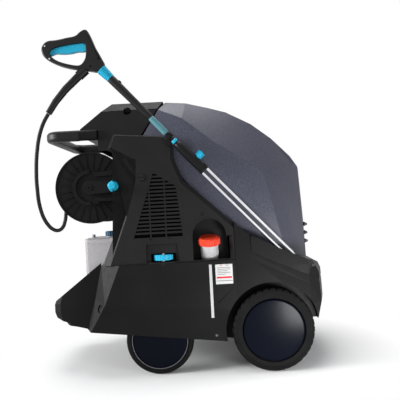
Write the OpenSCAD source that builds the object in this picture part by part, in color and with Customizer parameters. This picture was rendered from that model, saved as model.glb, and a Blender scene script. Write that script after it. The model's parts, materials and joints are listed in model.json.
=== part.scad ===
// Hot water pressure washer with an opening hood, hose reel and parked lance.
// Millimetres. +X is the hood end, -Y is the operating side, +Z is up.

/* [Wheels] */
// outside diameter of the large wheels
front_wheel_d = 300; // [290:1:304]
// width of a large tyre
front_wheel_w = 80; // [70:1:82]
// outside diameter of the small wheels
rear_wheel_d = 250; // [236:1:254]
// width of a small tyre
rear_wheel_w = 60; // [50:1:62]
// diameter of both axles
axle_d = 20; // [16:1:24]
// tread lugs round a large tyre
lug_count = 36; // [24:1:40]

/* [Casing] */
// wall of the lower body and the bumper
wall = 5; // [4:0.5:6]
// wall of the hood
hood_wall = 4; // [3:0.5:5]
// wall of the side panels
panel_wall = 5; // [4:0.5:6]
// rows of slots in each side grille
grille_rows = 17; // [12:1:17]
// height of one grille slot
slot_h = 6.5; // [5:0.5:8]

/* [Reel] */
// diameter of the reel flanges
flange_d = 272; // [256:1:280]
// outside diameter of the hose
hose_d = 14; // [12:0.5:15]
// turns in the outer layer of hose
hose_turns = 17; // [10:1:17]
// diameter of the hose bed on the drum
drum_d = 172; // [150:1:180]
// distance from the reel axis to the crank grip
crank_reach = 96; // [88:1:104]

/* [Lance] */
// diameter of the two lance tubes
tube_d = 13; // [10:0.5:14]
// diameter of the lance grip at its thin end
grip_d = 26; // [24:0.5:28]
// thickness of the spray gun
gun_w = 36; // [32:1:40]

/* [Controls] */
// diameter of the volume thumbwheel
volume_d = 70; // [64:1:72]
// diameter of the fuel cap
cap_d = 80; // [74:1:82]
// diameter of the rotary controls
dial_d = 46; // [38:1:50]

/* [Fits] */
// radial clearance of a turning shaft
run_fit = 0.05; // [0.03:0.01:0.1]
// radial clearance of a sliding or lift-off piece
slide_fit = 0.4; // [0.3:0.05:0.6]
// gap between neighbouring pieces
gap = 0.4; // [0.3:0.05:0.5]

/* [Hidden] */
// the piece that is built, or all of them

$fn = 48;
black = [0.12, 0.12, 0.13];
navy = [0.2, 0.22, 0.3];
blue = [0.12, 0.62, 0.8];
steel = [0.75, 0.76, 0.78];
e = 0.01;

// wheels and their places
fw_x = 299;
rw_x = -119;
fw_r = front_wheel_d / 2;
rw_r = rear_wheel_d / 2;
fw_out = 350;
rw_out = 311;
arch_r = fw_r + 23;
arch_in = fw_out - front_wheel_w - 9;
axle_r = axle_d / 2;
floor_z = 200;

// long lines of the casing
deck_z = 410;
pan_y = 325;
pan_top = 885;
pan_a = atan(40 / (pan_top - deck_z));
bay_x = -196;
seam_x = 231;
hinge_x = 465;
hinge_z = 370;
hinge_r = 6;

// reel
reel_x = -358;
reel_z = 703;
reel_y0 = -238;
reel_y1 = 62;
flange_r = flange_d / 2;
hose_r = hose_d / 2;
coil_r = (drum_d / 2 + hose_r + gap) / cos(7.5);
shaft_r = 12;

// lance and gun
lan_y = -305;
lan_x0 = -283;
lan_z0 = 1134;
lan_a = 47.5;

// ---------- helpers ----------

// cylinder along Y between two stations
module ycyl(r, y0, y1, r2 = -1) {
  translate([0, y0, 0]) rotate([-90, 0, 0]) cylinder(r1 = r, r2 = r2 < 0 ? r : r2, h = y1 - y0);
}
module xcyl(r, x0, x1, r2 = -1) {
  translate([x0, 0, 0]) rotate([0, 90, 0]) cylinder(r1 = r, r2 = r2 < 0 ? r : r2, h = x1 - x0);
}
module zcyl(r, z0, z1, r2 = -1) {
  translate([0, 0, z0]) cylinder(r1 = r, r2 = r2 < 0 ? r : r2, h = z1 - z0);
}
// side view profile pulled across the width
module xz(pts, y0, y1) {
  translate([0, y1, 0]) rotate([90, 0, 0]) linear_extrude(y1 - y0) polygon(pts);
}
// front view profile pulled along the length
module yz(pts, x0, x1) {
  translate([x0, 0, 0]) rotate([90, 0, 90]) linear_extrude(x1 - x0) polygon(pts);
}
module xy(pts, z0, z1) {
  translate([0, 0, z0]) linear_extrude(z1 - z0) polygon(pts);
}
module box(a, b) {
  translate(a) cube([b[0] - a[0], b[1] - a[1], b[2] - a[2]]);
}
module pair() {
  children();
  mirror([0, 1, 0]) children();
}
// end cap in strips that join each point to its partner counted from the other end
function strips(n, s) = [for (i = [0 : ceil(n / 2) - 2]) let (j = n - 2 - i)
  each i + 1 == j ? [[s + i, s + j, s + j + 1]] : [[s + i, s + i + 1, s + j], [s + i, s + j, s + j + 1]]];
// skin through rings of equally many points, each ring turning right-handed about the travel
module loft(rings, fan = false) {
  n = len(rings[0]);
  m = len(rings);
  s = (m - 1) * n;
  polyhedron([for (r = rings) each r], concat(
    fan ? strips(n, 0) : [[for (i = [0 : n - 1]) i]],
    fan ? [for (f = strips(n, s)) rev(f)] : [[for (i = [n - 1 : -1 : 0]) s + i]],
    [for (j = [0 : m - 2], i = [0 : n - 1])
      let (a = j * n + i, b = j * n + (i + 1) % n, c = b + n, d = a + n) each [[a, d, c], [a, c, b]]]));
}
function rev(p) = [for (i = [len(p) - 1 : -1 : 0]) p[i]];
// full ring from the points of its half with y > 0, mirrored across the middle plane
function whole(h) = concat([for (i = [len(h) - 1 : -1 : 0]) h[i]],
  [for (p = h) if (p[1] > 0.001) [p[0], -p[1], p[2]]]);
// corner cutting that turns a control outline into a smooth one
function smooth(p, k = 2) = k == 0 ? p : smooth([for (i = [0 : len(p) - 1])
  let (a = p[i], b = p[(i + 1) % len(p)]) each [a * 0.75 + b * 0.25, a * 0.25 + b * 0.75]], k - 1);
// outline moved inwards by d with mitred corners
function inset(p, d) = [for (i = [0 : len(p) - 1])
  let (n = len(p), a = p[(i + n - 1) % n], b = p[i], c = p[(i + 1) % n],
    u = (b - a) / norm(b - a), v = (c - b) / norm(c - b),
    m = [-u[1], u[0]] + [-v[1], v[0]]) b + m * d / (1 + u * v)];
function lift(p, z) = [for (q = p) [q[0], q[1], z]];
// rounded bar cross-section
module bar2d(r, h) {
  square([2 * r, h - 2 * r], center = true);
  translate([0, h / 2 - r]) circle(r);
  translate([0, r - h / 2]) circle(r);
}
// half-width of the side panels' outer face
function pan_w(z) = pan_y - (z - deck_z) * tan(pan_a);
// frame of the right panel: x along the machine, y up its face, z outwards
module on_panel() {
  translate([0, -pan_y, deck_z]) rotate([90 - pan_a, 0, 0]) children();
}
function up(z) = (z - deck_z) / cos(pan_a);

// ---------- lower body ----------

function crease_z(x) = 247 - (x + 13) * 0.08;
function base_z(x) = 140 - (x + 119) * 0.11;

body_rings = [
  [[-325, 230, deck_z - 1], [-325, 288, deck_z], [-352, 291, 292], [-387, 288, 174]],
  [[-251, 262, deck_z], [-251, 335, deck_z], [-309, 345, 268], [-369, 321, 170]],
  [[172, 262, deck_z], [172, 335, deck_z], [172, 345, crease_z(172)], [172, 321, base_z(172)]],
  [[173.5, pan_w(547), 547], [173.5, 329, deck_z], [173.5, 345, crease_z(173)], [173.5, 321, base_z(172)]],
  [[seam_x, pan_w(494), 494], [seam_x, 329, deck_z], [seam_x, 345, 236], [seam_x, 321, 118]],
  [[seam_x + 1, 327, 433], [seam_x + 1, 329, deck_z], [seam_x + 1, 345, 236], [seam_x + 1, 321, 118]],
  [[440, 321, 340], [440, 326, 310], [440, 341, 238], [440, 325, 174]],
  [[482, 283, 322], [484, 286, 300], [487, 290, 240], [473, 283, 174]],
  [[514, 150, 322], [516, 150, 300], [518, 150, 240], [504, 150, 176]]];

module body_outer() { loft([for (r = body_rings) whole(r)], true); }

module body_main_cut() {
  w = wall;
  loft([for (k = [[-325 + w, 288 - w], [-251 + w * 0.4, 335 - w], [180, 331 - w]])
    let (x = k[0], y = k[1], s = x < -300 ? 1 : x < 0 ? 2 : 3)
    whole(s == 1 ? [[x, y - 9, deck_z - w], [x, y, deck_z - w - 3], [x - 27, y, 292], [x - 84, y, 100]] :
      s == 2 ? [[x, y - 9, deck_z - w], [x, y, deck_z - w], [x - 58, 345 - w, 266], [x - 168, 298, 90]] :
      [[x, y - 9, deck_z - w], [x, y, deck_z - w - 3], [x, 345 - w, 232], [x, 308, 60]])], true);
}
module body_front_cut() {
  w = wall;
  loft([whole([[178.5, pan_w(600) - w, 600], [178.5, 329 - w, deck_z], [178.5, 345 - w, 232], [178.5, 308, 60]]),
    whole([[seam_x, pan_w(600) - w, 600], [seam_x, 329 - w, deck_z], [seam_x, 345 - w, 236], [seam_x, 308, 60]]),
    whole([[440 - w, 316 - w, 420], [440 - w, 326 - w, 310], [440 - w, 341 - w, 238], [440 - w, 321 - w, 120]]),
    whole([[482 - w, 278, 420], [484 - w, 284, 300], [487 - w, 287, 240], [465 - w, 280, 120]]),
    whole([[514 - w, 147, 420], [516 - w, 147, 300], [518 - w, 147, 240], [494 - w, 144, 120]])], true);
}

module lower_body() color(black) difference() {
  body_outer();
  // hollow, except the liners of the wheel arches
  difference() {
    union() {
      body_main_cut();
      body_front_cut();
    }
    pair() translate([fw_x, 0, fw_r]) ycyl(arch_r + 4, arch_in - 4, 360);
  }
  // wheel arches
  pair() translate([fw_x, 0, fw_r]) {
    ycyl(arch_r, arch_in, 400);
    ycyl(axle_r + 2, 200, 300);
  }
  // room under the hood, and the pocket of the jug tray
  box([bay_x + 6, -262, deck_z - 30], [seam_x, 262, deck_z + 160]);
  box([-420, -241.5, 283], [-249, 241.5, deck_z + 20]);
  // bowl of the volume control, fuel neck and side details
  volume_lip(0.5);
  translate([80, -275, 0]) zcyl(34, 380, 440);
  fender_line();
  mirror([0, 1, 0]) fender_line();
  pair() translate([-328, 328, 257]) rotate([0, 0, 45]) ycyl(15, -14, 40);
  pair() translate([91, 0, 137]) ycyl(5, 320, 400);
}
// raised fender edge that climbs over the wheel arch
module fender_line() {
  translate([100, -352, 260]) rotate([0, -43, 0]) box([0, 0, -4], [165, 12, 0]);
}

// ---------- jug tray at the rear ----------

module rear_tray() color(black) {
  // rounded foot lip for tipping the machine back
  intersection() {
    xz(concat([for (a = [0 : 15 : 90]) [-464 - 28 * sin(a), 211 - 28 * cos(a)]], [[-492, 232], [-394, 232],
      [-394, 166], [-430, 176]]), -238, 238);
    xy([[-492, -200], [-464, -238], [-394, -238], [-394, 238], [-464, 238], [-492, 200]], 150, 300);
  }
  difference() {
    loft([
      whole([[-518, 222, 278], [-524, 222, 264], [-524, 222, 234], [-517, 222, 214]]),
      whole([[-489, 240, 299], [-497, 240, 270], [-498, 240, 234], [-490, 240, 202]]),
      whole([[-335, 240, 416], [-352.5, 240, 300], [-369, 240, 240], [-391.5, 240, 166]])], true);
    // tray pocket above and hollow below
    box([-505, -235, 290], [-250, 235, 500]);
    box([-490, -234, 120], [-300, 234, 285]);
  }
  difference() {
    box([-367, -241, 283.5], [-249.5, 241, 406]);
    box([-400, -236, 290], [-254, 236, 500]);
    xz([[-420, 290], [-362, 290], [-337, 420], [-420, 420]], -250, 250);
  }
}

// ---------- side panels ----------

pan_base = deck_z + gap;
pan_edge = [[-317, pan_base], [171.6, pan_base], [171.6, 547], [-3, 713], [-36, 795],
  [-34, 863], [-71, pan_top], [-261, 900], [-286, 841], [-231, 812], [-206, 794], [-203, 723],
  [-214, 679], [-243, 588]];
pan_face = [[-284, pan_base], [171.6, pan_base], [171.6, 527], [-14, 703], [-48, 790],
  [-46, 855], [-76, 877], [-251, 891], [-268, 848], [-220, 820], [-176, 796], [-180, 718],
  [-191, 674], [-218, 584]];
function to_panel(p) = [for (q = p) [q[0], up(q[1])]];

// folded sheet: the face, its bevelled edges and the same surfaces one wall further in
module panel_sheet(w, depth) {
  loft([lift(inset(to_panel(pan_face), w), -w), lift(inset(to_panel(pan_edge), w), -depth),
    lift(to_panel(pan_edge), -depth), lift(to_panel(pan_face), 0)]);
}
// opening of the louvred grille, and its slats and upright bars behind the face
grille_edge = [[-195, up(506)], [-15, up(506)], [-33, up(692)], [-115, up(746)]];
module grille_slats() intersection() {
  translate([0, 0, -4.4]) linear_extrude(3.8) offset(delta = 2) polygon(grille_edge);
  union() {
    pitch = 222 / 16;
    for (i = [0 : grille_rows - 1])
      translate([-220, up(512 + i * pitch) + slot_h, -4]) cube([230, pitch - slot_h, 3]);
    for (x = [-135, -78]) translate([x, up(500), -4.4]) cube([5, 260, 3.8]);
  }
}
// stepped drain of the volume control that fills a notch of the ledge
module volume_lip(g = 0) {
  intersection() {
    translate([-91, -205, 0]) zcyl(130 + g, 392 - g, 414);
    box([-160, -345, 380], [-20, -300 + g, 420]);
  }
}
function arch_pts(r, z0) = concat([[82 - r, z0]], [for (a = [180 : -12 : 0]) [82 + r * cos(a), 503 + r * sin(a)]],
  [[82 + r, z0]]);
arch_r2 = 62;

module side_panel(pockets) {
  difference() {
    union() {
      difference() {
        on_panel() panel_sheet(panel_wall, 22);
        box([-400, -340, 380], [200, -200, pan_base]);
      }
      // shelf that closes the top towards the console and the hood
      xz([[-256, 887], [-168, 881], [-168, 886], [-256, 892]], -272, -232);
      xz([[-169, 881], [-76, 872], [-76, 877], [-169, 886]], -272, -250);
      if (pockets) {
        xz(arch_pts(arch_r2 + 4, pan_base), -pan_w(540), -246);
        xz([[140, pan_base], [172, pan_base], [172, 500], [140, 522]], -pan_w(530), -300);
        xz([[-158, pan_base + 1], [-26, pan_base + 1], [-34, 488], [-145, 488]], -pan_w(500), -256);
        volume_lip();
      }
    }
    on_panel() translate([0, 0, -30]) linear_extrude(60) polygon(grille_edge);
    // quarter-turn fastener seat
    translate([-158, -286, 728]) rotate([-pan_a, 0, 0]) ycyl(14.5, -40, -6);
    if (pockets) {
      // filler recess, splayed on the hood side, open over its floor
      xz(arch_pts(arch_r2, deck_z + 5), -400, -250);
      neck_frame() zcyl(35.5, -10, 60);
      translate([neck_x, neck_y, 0]) zcyl(32, 400, 446);
      xy([[120, -400], [169, -400], [169, -322], [143, -280], [120, -280]], deck_z + 5, 500);
      // sloping hand recess of the volume control and the slot of its wheel
      xz([[-150, 481], [-38, 481], [-32, 416], [-152, 416]], -400, -pan_w(450) + 8);
      xz([[-135, 446], [-42, 446], [-42, 415.5], [-135, 415.5]], -400, -260);
      translate([-91, -300, 0]) zcyl(6 + slide_fit, 405, 470);
      // two marks over the control: more and less
      on_panel() {
        translate([-133, up(500), -1]) cube([12, 2.5, 4], center = true);
        translate([-133, up(500), -1]) cube([2.5, 12, 4], center = true);
        translate([-61, up(500), -1]) cube([12, 2.5, 4], center = true);
      }
    }
  }
  on_panel() grille_slats();
  // quarter-turn fastener
  translate([-158, -286, 728]) rotate([-pan_a, 0, 0]) difference() {
    ycyl(13.5, -16.5, -7);
    box([-11, -18, -1.5], [11, -14.5, 1.5]);
  }
  translate([-158, -286, 728]) rotate([-pan_a, 0, 0]) ycyl(15.5, -8.5, -5.5);
}
module side_panel_right() color(black) side_panel(true);
module side_panel_left() color(black) mirror([0, 1, 0]) side_panel(false);

module rear_panel() color(black) difference() {
  union() {
    yz([[-292, deck_z + gap], [292, deck_z + gap], [256, 830], [224, 858], [224, 887 - gap], [-224, 887 - gap],
      [-224, 858], [-256, 830]],
      bay_x - 4, bay_x);
    // stiffening ribs on the inside
    for (z = [518, 604, 735]) box([bay_x - e, -230, z], [bay_x + 8, 230, z + 5]);
  }
  // water inlet and cable gland
  translate([0, 150, 470]) xcyl(13, bay_x - 20, bay_x + 20);
  translate([0, 210, 470]) xcyl(9, bay_x - 20, bay_x + 20);
}

// ---------- console, lid and controls ----------

con_half = [[0, 840], [238, 840], [226, 900], [200, 998], [172, 1029], [0, 1029]];
module console_outer(t) {
  intersection() {
    xz(t == 0 ? [[-394, 905], [-394, 931], [-278, 1027], [-278, 997], [-96, 997], [-165, 887], [-235, 887],
        [-250, 842], [-324, 842], [-326, 905]]
      : [[-394 + t, 905 + t], [-394 + t, 929], [-282, 1022], [-282, 1100], [-31 - 1.18 * t, 1100], [-162 - 1.18 * t, 887 + t],
        [-240, 887 + t], [-264, 820], [-314, 820], [-316, 905 + t]], -260, 260);
    pair() yz([[-1, 800], [246 - t, 800], [226 - t, 900], [200 - t, 998], [172 - t, 1029 - t + (t > 0 ? 60 : 0)],
      [-1, 1029 - t + (t > 0 ? 60 : 0)]], -450, -50);
  }
}
module console() color(black) difference() {
  union() {
    difference() {
      console_outer(0);
      console_outer(wall);
    }
    // the slope and the rim that carries the lid stay closed
    intersection() {
      console_outer(0);
      union() {
        xz([[-394, 925], [-394, 931], [-278, 1027], [-278, 1015]], -220, 220);
        box([-283, -210, 890], [-278, 210, 1030]);
        box([-325, -238, 902], [-270, 238, 907]);
        pair() box([-276, 184, 987], [-112, 200, 992.6]);
        translate(lid_axis) for (x = [-215, -125]) xcyl(4.5, x, x + 27);
      }
    }
    translate(lid_axis) {
      for (x = [-218, -128]) {
        xcyl(4.5, x, x + 30);
        box([x, -3, -12], [x + 30, 4, 0]);
      }
      xcyl(2, -254, -98);
    }
  }
  // groove the lid edge turns in
  translate(lid_axis) difference() {
    xcyl(7, -277, -97.6);
    xcyl(2, -280, -60);
    for (x = [-218, -128]) {
      xcyl(4.5, x, x + 30);
      box([x, -3, -12], [x + 30, 4, 0]);
    }
  }
  // window of the control panel
  translate([-336, 0, 979]) rotate([0, -39.6, 0]) box([-46, -131, -12], [46, 131, 12]);
  // finger notch under the edge of the lid
  translate([-212, -206, 996]) rotate([0, 90, 90]) cylinder(r = 16, h = 30, $fn = 32);
  pair() translate([-330, 200, 906]) box([-80, 9, -16], [6, 60, 16]);
}
module control_panel() color(black) translate([-336, 0, 979]) rotate([0, -39.6, 0]) difference() {
  union() {
    box([-45.5, -130.5, -9], [45.5, 130.5, -2]);
    translate([0, -40, 0]) zcyl(dial_d / 2 + 6, -3, -1);
    translate([0, 40, 0]) zcyl(dial_d / 2 + 6, -3, -1);
    // sight bezel of the status lamps
    box([-12, -120, -3], [12, -84, 0]);
  }
  translate([0, -40, 0]) zcyl(5 + run_fit, -20, 5);
  translate([0, 40, 0]) zcyl(5 + run_fit, -20, 5);
  for (i = [-1 : 1]) translate([0, -102 + i * 11, 0]) zcyl(3.2, -1.5, 2);
}
// rotary control with a raised pointer bar
module dial() {
  difference() {
    union() {
      rotate_extrude() polygon([[0, -0.6], [dial_d / 2, -0.6], [dial_d / 2, 6], [dial_d / 2 - 3, 14],
        [0, 14]]);
      box([-dial_d / 2 + 3, -5, 8], [dial_d / 2 - 3, 5, 22]);
    }
    for (a = [0 : 30 : 330]) rotate([0, 0, a + 15]) translate([dial_d / 2 + 1.5, 0, 0]) zcyl(3, -2, 30, 4);
  }
  zcyl(5, -12, 0);
}
module main_switch() color(blue) translate([-336, 0, 979]) rotate([0, -39.6, 0]) translate([0, -40, 0]) dial();
module thermostat_knob() color(black)
  translate([-336, 0, 979]) rotate([0, -39.6, 0]) translate([0, 40, 0]) dial();

tray_x0 = -268;
tray_x1 = -118;
module storage_tray() color(black) difference() {
  union() {
    xz([[tray_x0, 995], [tray_x0, 894], [-170, 894], [tray_x1 - 3, 972], [tray_x1 + 8, 995]], -180, 180);
    xz([[tray_x0 - 7, 993], [tray_x0 - 7, 996], [-107, 996], [-109, 993]], -194, 188.5);
  }
  xz([[tray_x0 + 3, 1000], [tray_x0 + 3, 897], [-172, 897], [tray_x1 - 6, 973], [tray_x1 + 5, 1000]], -177, 177);
}
lid_axis = [0, 196, 1000];
module storage_lid() color(black) {
  difference() {
    intersection() {
      xz([[-277.5, 998.5], [-277.5, 1027], [-274, 1030], [-74, 1031], [-95, 998.5]], -260, 260);
      pair() yz([[-1, 990], [202, 990], [200, 999], [172, 1030], [120, 1031], [-1, 1031]], -400, 0);
    }
    xz([[-273, 990], [-273, 1025], [-82, 1026], [-105, 990]], -165, 165);
    xz([[-273, 990], [-273, 1000], [-101, 1000], [-105, 990]], -196, 190);
    // finger notch
    translate([-212, -208, 997]) rotate([-90, 0, 0]) cylinder(r = 14, h = 22, $fn = 32);
    // hinge side: room for the knuckles
    translate(lid_axis) xcyl(5.5, -300, -60);
  }
  translate(lid_axis) difference() {
    for (x = [-250, -160]) {
      xcyl(4.5, x, x + 30);
      box([x, -20, 0], [x + 30, 0, 4.5]);
      box([x, -20, 0], [x + 30, -14, 27]);
    }
    xcyl(2 + run_fit, -300, -60);
  }
}

// ---------- handle ----------

hb_y = 230;
hb_z = 905;
module handle() color(black) {
  r = 15;
  h = 42;
  c = 46;
  x0 = -394 - gap;
  x1 = -515;
  translate([0, 0, hb_z]) {
    pair() translate([x1 + c, hb_y, 0]) rotate([90, 0, 90]) linear_extrude(x0 - x1 - c) bar2d(r, h);
    pair() translate([x1 + c, hb_y - c, 0]) rotate([0, 0, 90]) rotate_extrude(angle = 90)
      translate([c, 0]) bar2d(r, h);
    translate([x1, hb_y - c, 0]) rotate([90, 0, 0]) linear_extrude(2 * (hb_y - c)) bar2d(r, h);
    // spigots that enter the brackets
    pair() translate([0, hb_y, 0]) xcyl(9, x0 - e, x0 + 40);
  }
}
module handle_brackets() color(black) pair() difference() {
  union() {
    translate([-394 + gap, hb_y, hb_z]) rotate([90, 0, 90]) linear_extrude(66.6) bar2d(14.5, 40);
    box([-345, hb_y - 20.6, hb_z - 15.6], [-327, hb_y + 12, hb_z + 15.6]);
  }
  translate([0, hb_y, hb_z]) xcyl(9 + slide_fit, -400, -352);
}

// ---------- front bumper with the lance trough ----------

function bump_plan(x0, x1, x2, y0, y1, y2) = let (h = [[200, y0 + 2], [232, y0], [x0, y1], [x1, y2], [x2, y2 - 134]])
  concat([for (p = h) [p[0], -p[1]]], rev(h));
bay_plan = [[190, 267], [369, 267], [473, 116], [478, 104], [486, 45]];
module front_bumper() color(black) {
  g = gap;
  edge = [[seam_x + 1.5, 433.2 + g], [seam_x + 1.5, 494], [262, 484], [342, 441], [440, 398], [470, 387], [500, 372],
    [514, 350], [518, 322 + g], [482, 322 + g], [440, 340 + g]];
  difference() {
    intersection() {
      xz(edge, -340, 340);
      loft([lift(bump_plan(440, 486, 517, 334, 323, 284), 300), lift(bump_plan(440, 483, 515, 331, 320, 280), 346),
        lift(bump_plan(438, 466, 505, 330, 321, 272), 381), lift(bump_plan(420, 436, 480, 324, 316, 250), 500)]);
    }
    // the hood shuts inside this opening and lies over its front edge when it is open
    xy(concat([for (p = bay_plan) [p[0], -p[1]]], rev(bay_plan)), 290, 520);
    xz([[476, 359.5], [512, 397.5], [476, 397.5]], -125, 125);
    // trough behind the outer rim on the lance side
    difference() {
      xy([[250, -314.5], [426, -314.5], [434, -303], [434, -276], [250, -276]], 297, 520);
      xz([[200, 200], [500, 200], [500, 312], [431, 343], [249, 424], [200, 446]], -330, -250);
    }
    // bores of the hood rod, recessed outside
    pair() translate([hinge_x, 0, hinge_z]) {
      ycyl(hinge_r + run_fit, 100, 340);
      ycyl(8.5, rod_end + 1, 340);
    }
  }
}
rod_end = 276;
module hood_hinge_rod() color(steel) translate([hinge_x, 0, hinge_z]) ycyl(hinge_r, -rod_end, rod_end);

// ---------- hood ----------

function hr(z) = -66 - 0.63 * (1031 - z);
hood_rings = [
  [[hr(1036), 0, 1036], [hr(1030), 150, 1030], [hr(992), 214, 992], [hr(897), 226, 897], [hr(874), 228, 874]],
  [[14, 0, 1030], [14, 150, 1023], [0, 232, 952], [-14, 243, 860], [-46, 240, 776]],
  [[100, 0, 1006], [100, 152, 1000], [112, 257, 857], [108, 262, 740], [60, 256, 632]],
  [[171, 0, 985], [171, 155, 978], [200, 257, 799], [190, 262, 680], [150, 262, 548]],
  [[267, 0, 934], [267, 158, 926], [298, 256, 731], [330, 262, 592], [262, 262, 477]],
  [[344, 0, 876], [344, 150, 867], [372, 187, 762], [400, 190, 588], [366, 262, 426]],
  [[419, 0, 803], [419, 128, 795], [450, 112, 752], [460, 106, 570], [468, 102, 382]],
  [[448, 0, 772], [449, 36, 768], [464, 40, 742], [474, 40, 570], [479, 40, 384]]];
// inner surface of the hood: one wall in, run out past the rear edge and the lower edge
function shrink(i, t) = [for (k = [0 : 4]) let (p = hood_rings[i][k])
  [p[0] - (i >= 5 ? t : 0), p[1] - (k > 0 ? t : 0), p[2] - (k < 3 ? t : 0) - (k == 4 ? 70 : 0)]];
function hood_inner(i, t) = i > 0 ? shrink(i, t) : shrink(0, t) + (shrink(0, t) - shrink(1, t)) * 0.5;
module hood() color(navy) difference() {
  union() {
    difference() {
      loft([for (r = hood_rings) whole(r)], true);
      loft([for (i = [0 : 7]) whole(hood_inner(i, hood_wall))], true);
    }
    // lugs on the front wall that turn on the rod
    pair() {
      xz([[hinge_x - 12, hinge_z], [hinge_x + 11, hinge_z], [471, 388], [470, 452], [466, 452], [458, 400]], 66, 82);
      translate([hinge_x, 0, hinge_z]) ycyl(11.5, 66, 82);
    }
    // louvre ribs across the front
    for (z = [452, 486, 520]) intersection() {
      xz([[464, z - 14], [482.5, z - 6], [482.5, z + 1], [464, z + 10]], -84, 84);
      box([472, -84, 430], [500, 84, 560]);
    }
    // inner stiffeners under the roof
    for (y = [-100, 100]) xz([[20, 1023.5], [100, 999.5], [171, 978], [262, 928.5], [262, 912], [170, 960],
      [20, 1005]], y - 2, y + 2);
  }
  translate([hinge_x, 0, hinge_z]) ycyl(hinge_r + run_fit, -100, 100);
  // flue opening in the roof
  on_roof() zcyl(44, -40, 40);
}
flue_x = 219;
module on_roof() translate([flue_x, 0, 985 - (flue_x - 171) * 51 / 96]) rotate([0, atan(51 / 96), 0]) children();
module flue_grille() color(steel) on_roof() difference() {
  union() {
    difference() {
      zcyl(51, 0.3, 3.3);
      zcyl(42, 0, 20);
    }
    difference() {
      zcyl(43.6, -12, 3.3);
      zcyl(41, -20, 20);
    }
    intersection() {
      zcyl(42, -1.5, 2);
      union() {
        for (i = [-2 : 2]) box([-70, i * 14 - 1.6, -2], [70, i * 14 + 1.6, 3]);
        for (i = [-1 : 1]) box([i * 26 - 1.6, -70, -2], [i * 26 + 1.6, 70, 3]);
      }
    }
  }
}

// ---------- running gear ----------

module chassis_frame() color(black) difference() {
  union() {
    // floor plate with outriggers to the lower body
    xy([[-346, -225], [-236, -225], [-236, -225], [26, -225], [26, -329], [118, -329], [118, -236], [440, -236],
      [440, 236], [118, 236], [118, 329], [26, 329], [26, 225], [-346, 225]], floor_z, floor_z + 4);
    pair() box([-340, 180, floor_z - 25], [430, 205, floor_z + e]);
    for (x = [-330, 60, 400]) box([x, -181, floor_z - 25], [x + 30, 181, floor_z + e]);
    // axle plates
    pair() {
      xz([[rw_x - 30, floor_z + e], [rw_x + 30, floor_z + e], [rw_x + 18, rw_r - 24], [rw_x - 18, rw_r - 24]],
        205, 213);
      xz([[fw_x - 34, floor_z + e], [fw_x + 34, floor_z + e], [fw_x + 18, fw_r - 24], [fw_x - 18, fw_r - 24]],
        205, 213);
    }
  }
  translate([rw_x, 0, rw_r]) ycyl(axle_r + run_fit, -260, 260);
  translate([fw_x, 0, fw_r]) ycyl(axle_r + run_fit, -260, 260);
}
module axle(x, r, out) translate([x, 0, r]) {
  ycyl(axle_r, -out + 16, out - 16);
  pair() {
    ycyl(axle_r + 6, 214, 220);
    ycyl(axle_r + 4, out - 17, out - 14);
  }
}
module front_axle() color(steel) axle(fw_x, fw_r, fw_out);
module rear_axle() color(steel) axle(rw_x, rw_r, rw_out);

f_hub = 113;
r_hub = 99;
// treaded tyre, outer face towards -Y in its own frame at y = -w/2
module front_tyre() difference() {
  rotate([90, 0, 0]) rotate_extrude($fn = 96) {
    w = front_wheel_w / 2;
    polygon([[f_hub + gap, -w + 8], [f_hub + 3, -w + 3], [fw_r - 22, -w], [fw_r - 8, -w + 4], [fw_r - 2, -w + 11],
      [fw_r, -w + 20], [fw_r, w - 20], [fw_r - 2, w - 11], [fw_r - 8, w - 4], [fw_r - 22, w],
      [f_hub + 3, w - 3], [f_hub + gap, w - 8]]);
  }
  for (i = [0 : lug_count - 1]) rotate([0, i * 360 / lug_count, 0]) for (s = [-1, 1])
    rotate([0, s * 90 / lug_count, 0]) translate([fw_r + 1, s * front_wheel_w / 4, 0])
      rotate([s * 24, 0, 0]) cube([13, front_wheel_w / 2 - 4, 6.5], center = true);
}
module rear_tyre() rotate([90, 0, 0]) rotate_extrude($fn = 96) {
  w = rear_wheel_w / 2;
  polygon([[r_hub + 3.4 + gap, -w + 7], [r_hub + 6, -w + 2], [rw_r - 16, -w], [rw_r - 6, -w + 4], [rw_r - 1, -w + 11],
    [rw_r, -w + 18], [rw_r, w - 18], [rw_r - 1, w - 11], [rw_r - 6, w - 4], [rw_r - 16, w],
    [r_hub + 6, w - 2], [r_hub + 3.4 + gap, w - 7]]);
}
// closed disc with a shallow dome outside and a ribbed back
module rim(hub, r_out, w, dome) difference() {
  rotate([90, 0, 0]) rotate_extrude($fn = 96) polygon(concat(
    [[axle_r + run_fit, -w / 2 + 6], [axle_r + 16, -w / 2 + 6], [axle_r + 16, w / 2 - 26], [hub - 14, w / 2 - 20],
      [hub - 8, w / 2 - 30], [hub - 5, -w / 2 + 12], [r_out, -w / 2 + 12], [r_out, w / 2 - 8],
      [hub, w / 2 - 3], [hub - 1, w / 2 - 1]],
    [for (a = [1 : 7]) [(hub - 1) * cos(a * 90 / 7), w / 2 - 1 + dome * sin(a * 90 / 7)]],
    [[0, w / 2 - 14], [axle_r + 5, w / 2 - 14], [axle_r + 5, w / 2 - 20], [axle_r + run_fit, w / 2 - 20]]));
  for (a = [0 : 45 : 315]) rotate([0, a, 0]) box([hub * 0.4, w / 2 - 22, -6], [hub * 0.6, w / 2 + 2, 6]);
}
module at_wheel(x, r, out, w, side) {
  translate([x, side * (out - w / 2), r]) rotate([0, 0, side > 0 ? 180 : 0]) children();
}
module front_tyre_right() color(black) at_wheel(fw_x, fw_r, fw_out, front_wheel_w, -1) front_tyre();
module front_tyre_left() color(black) at_wheel(fw_x, fw_r, fw_out, front_wheel_w, 1) front_tyre();
module front_rim_right() color(navy) at_wheel(fw_x, fw_r, fw_out, front_wheel_w, -1)
  rim(f_hub - 3, f_hub, front_wheel_w, 2.5);
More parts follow.
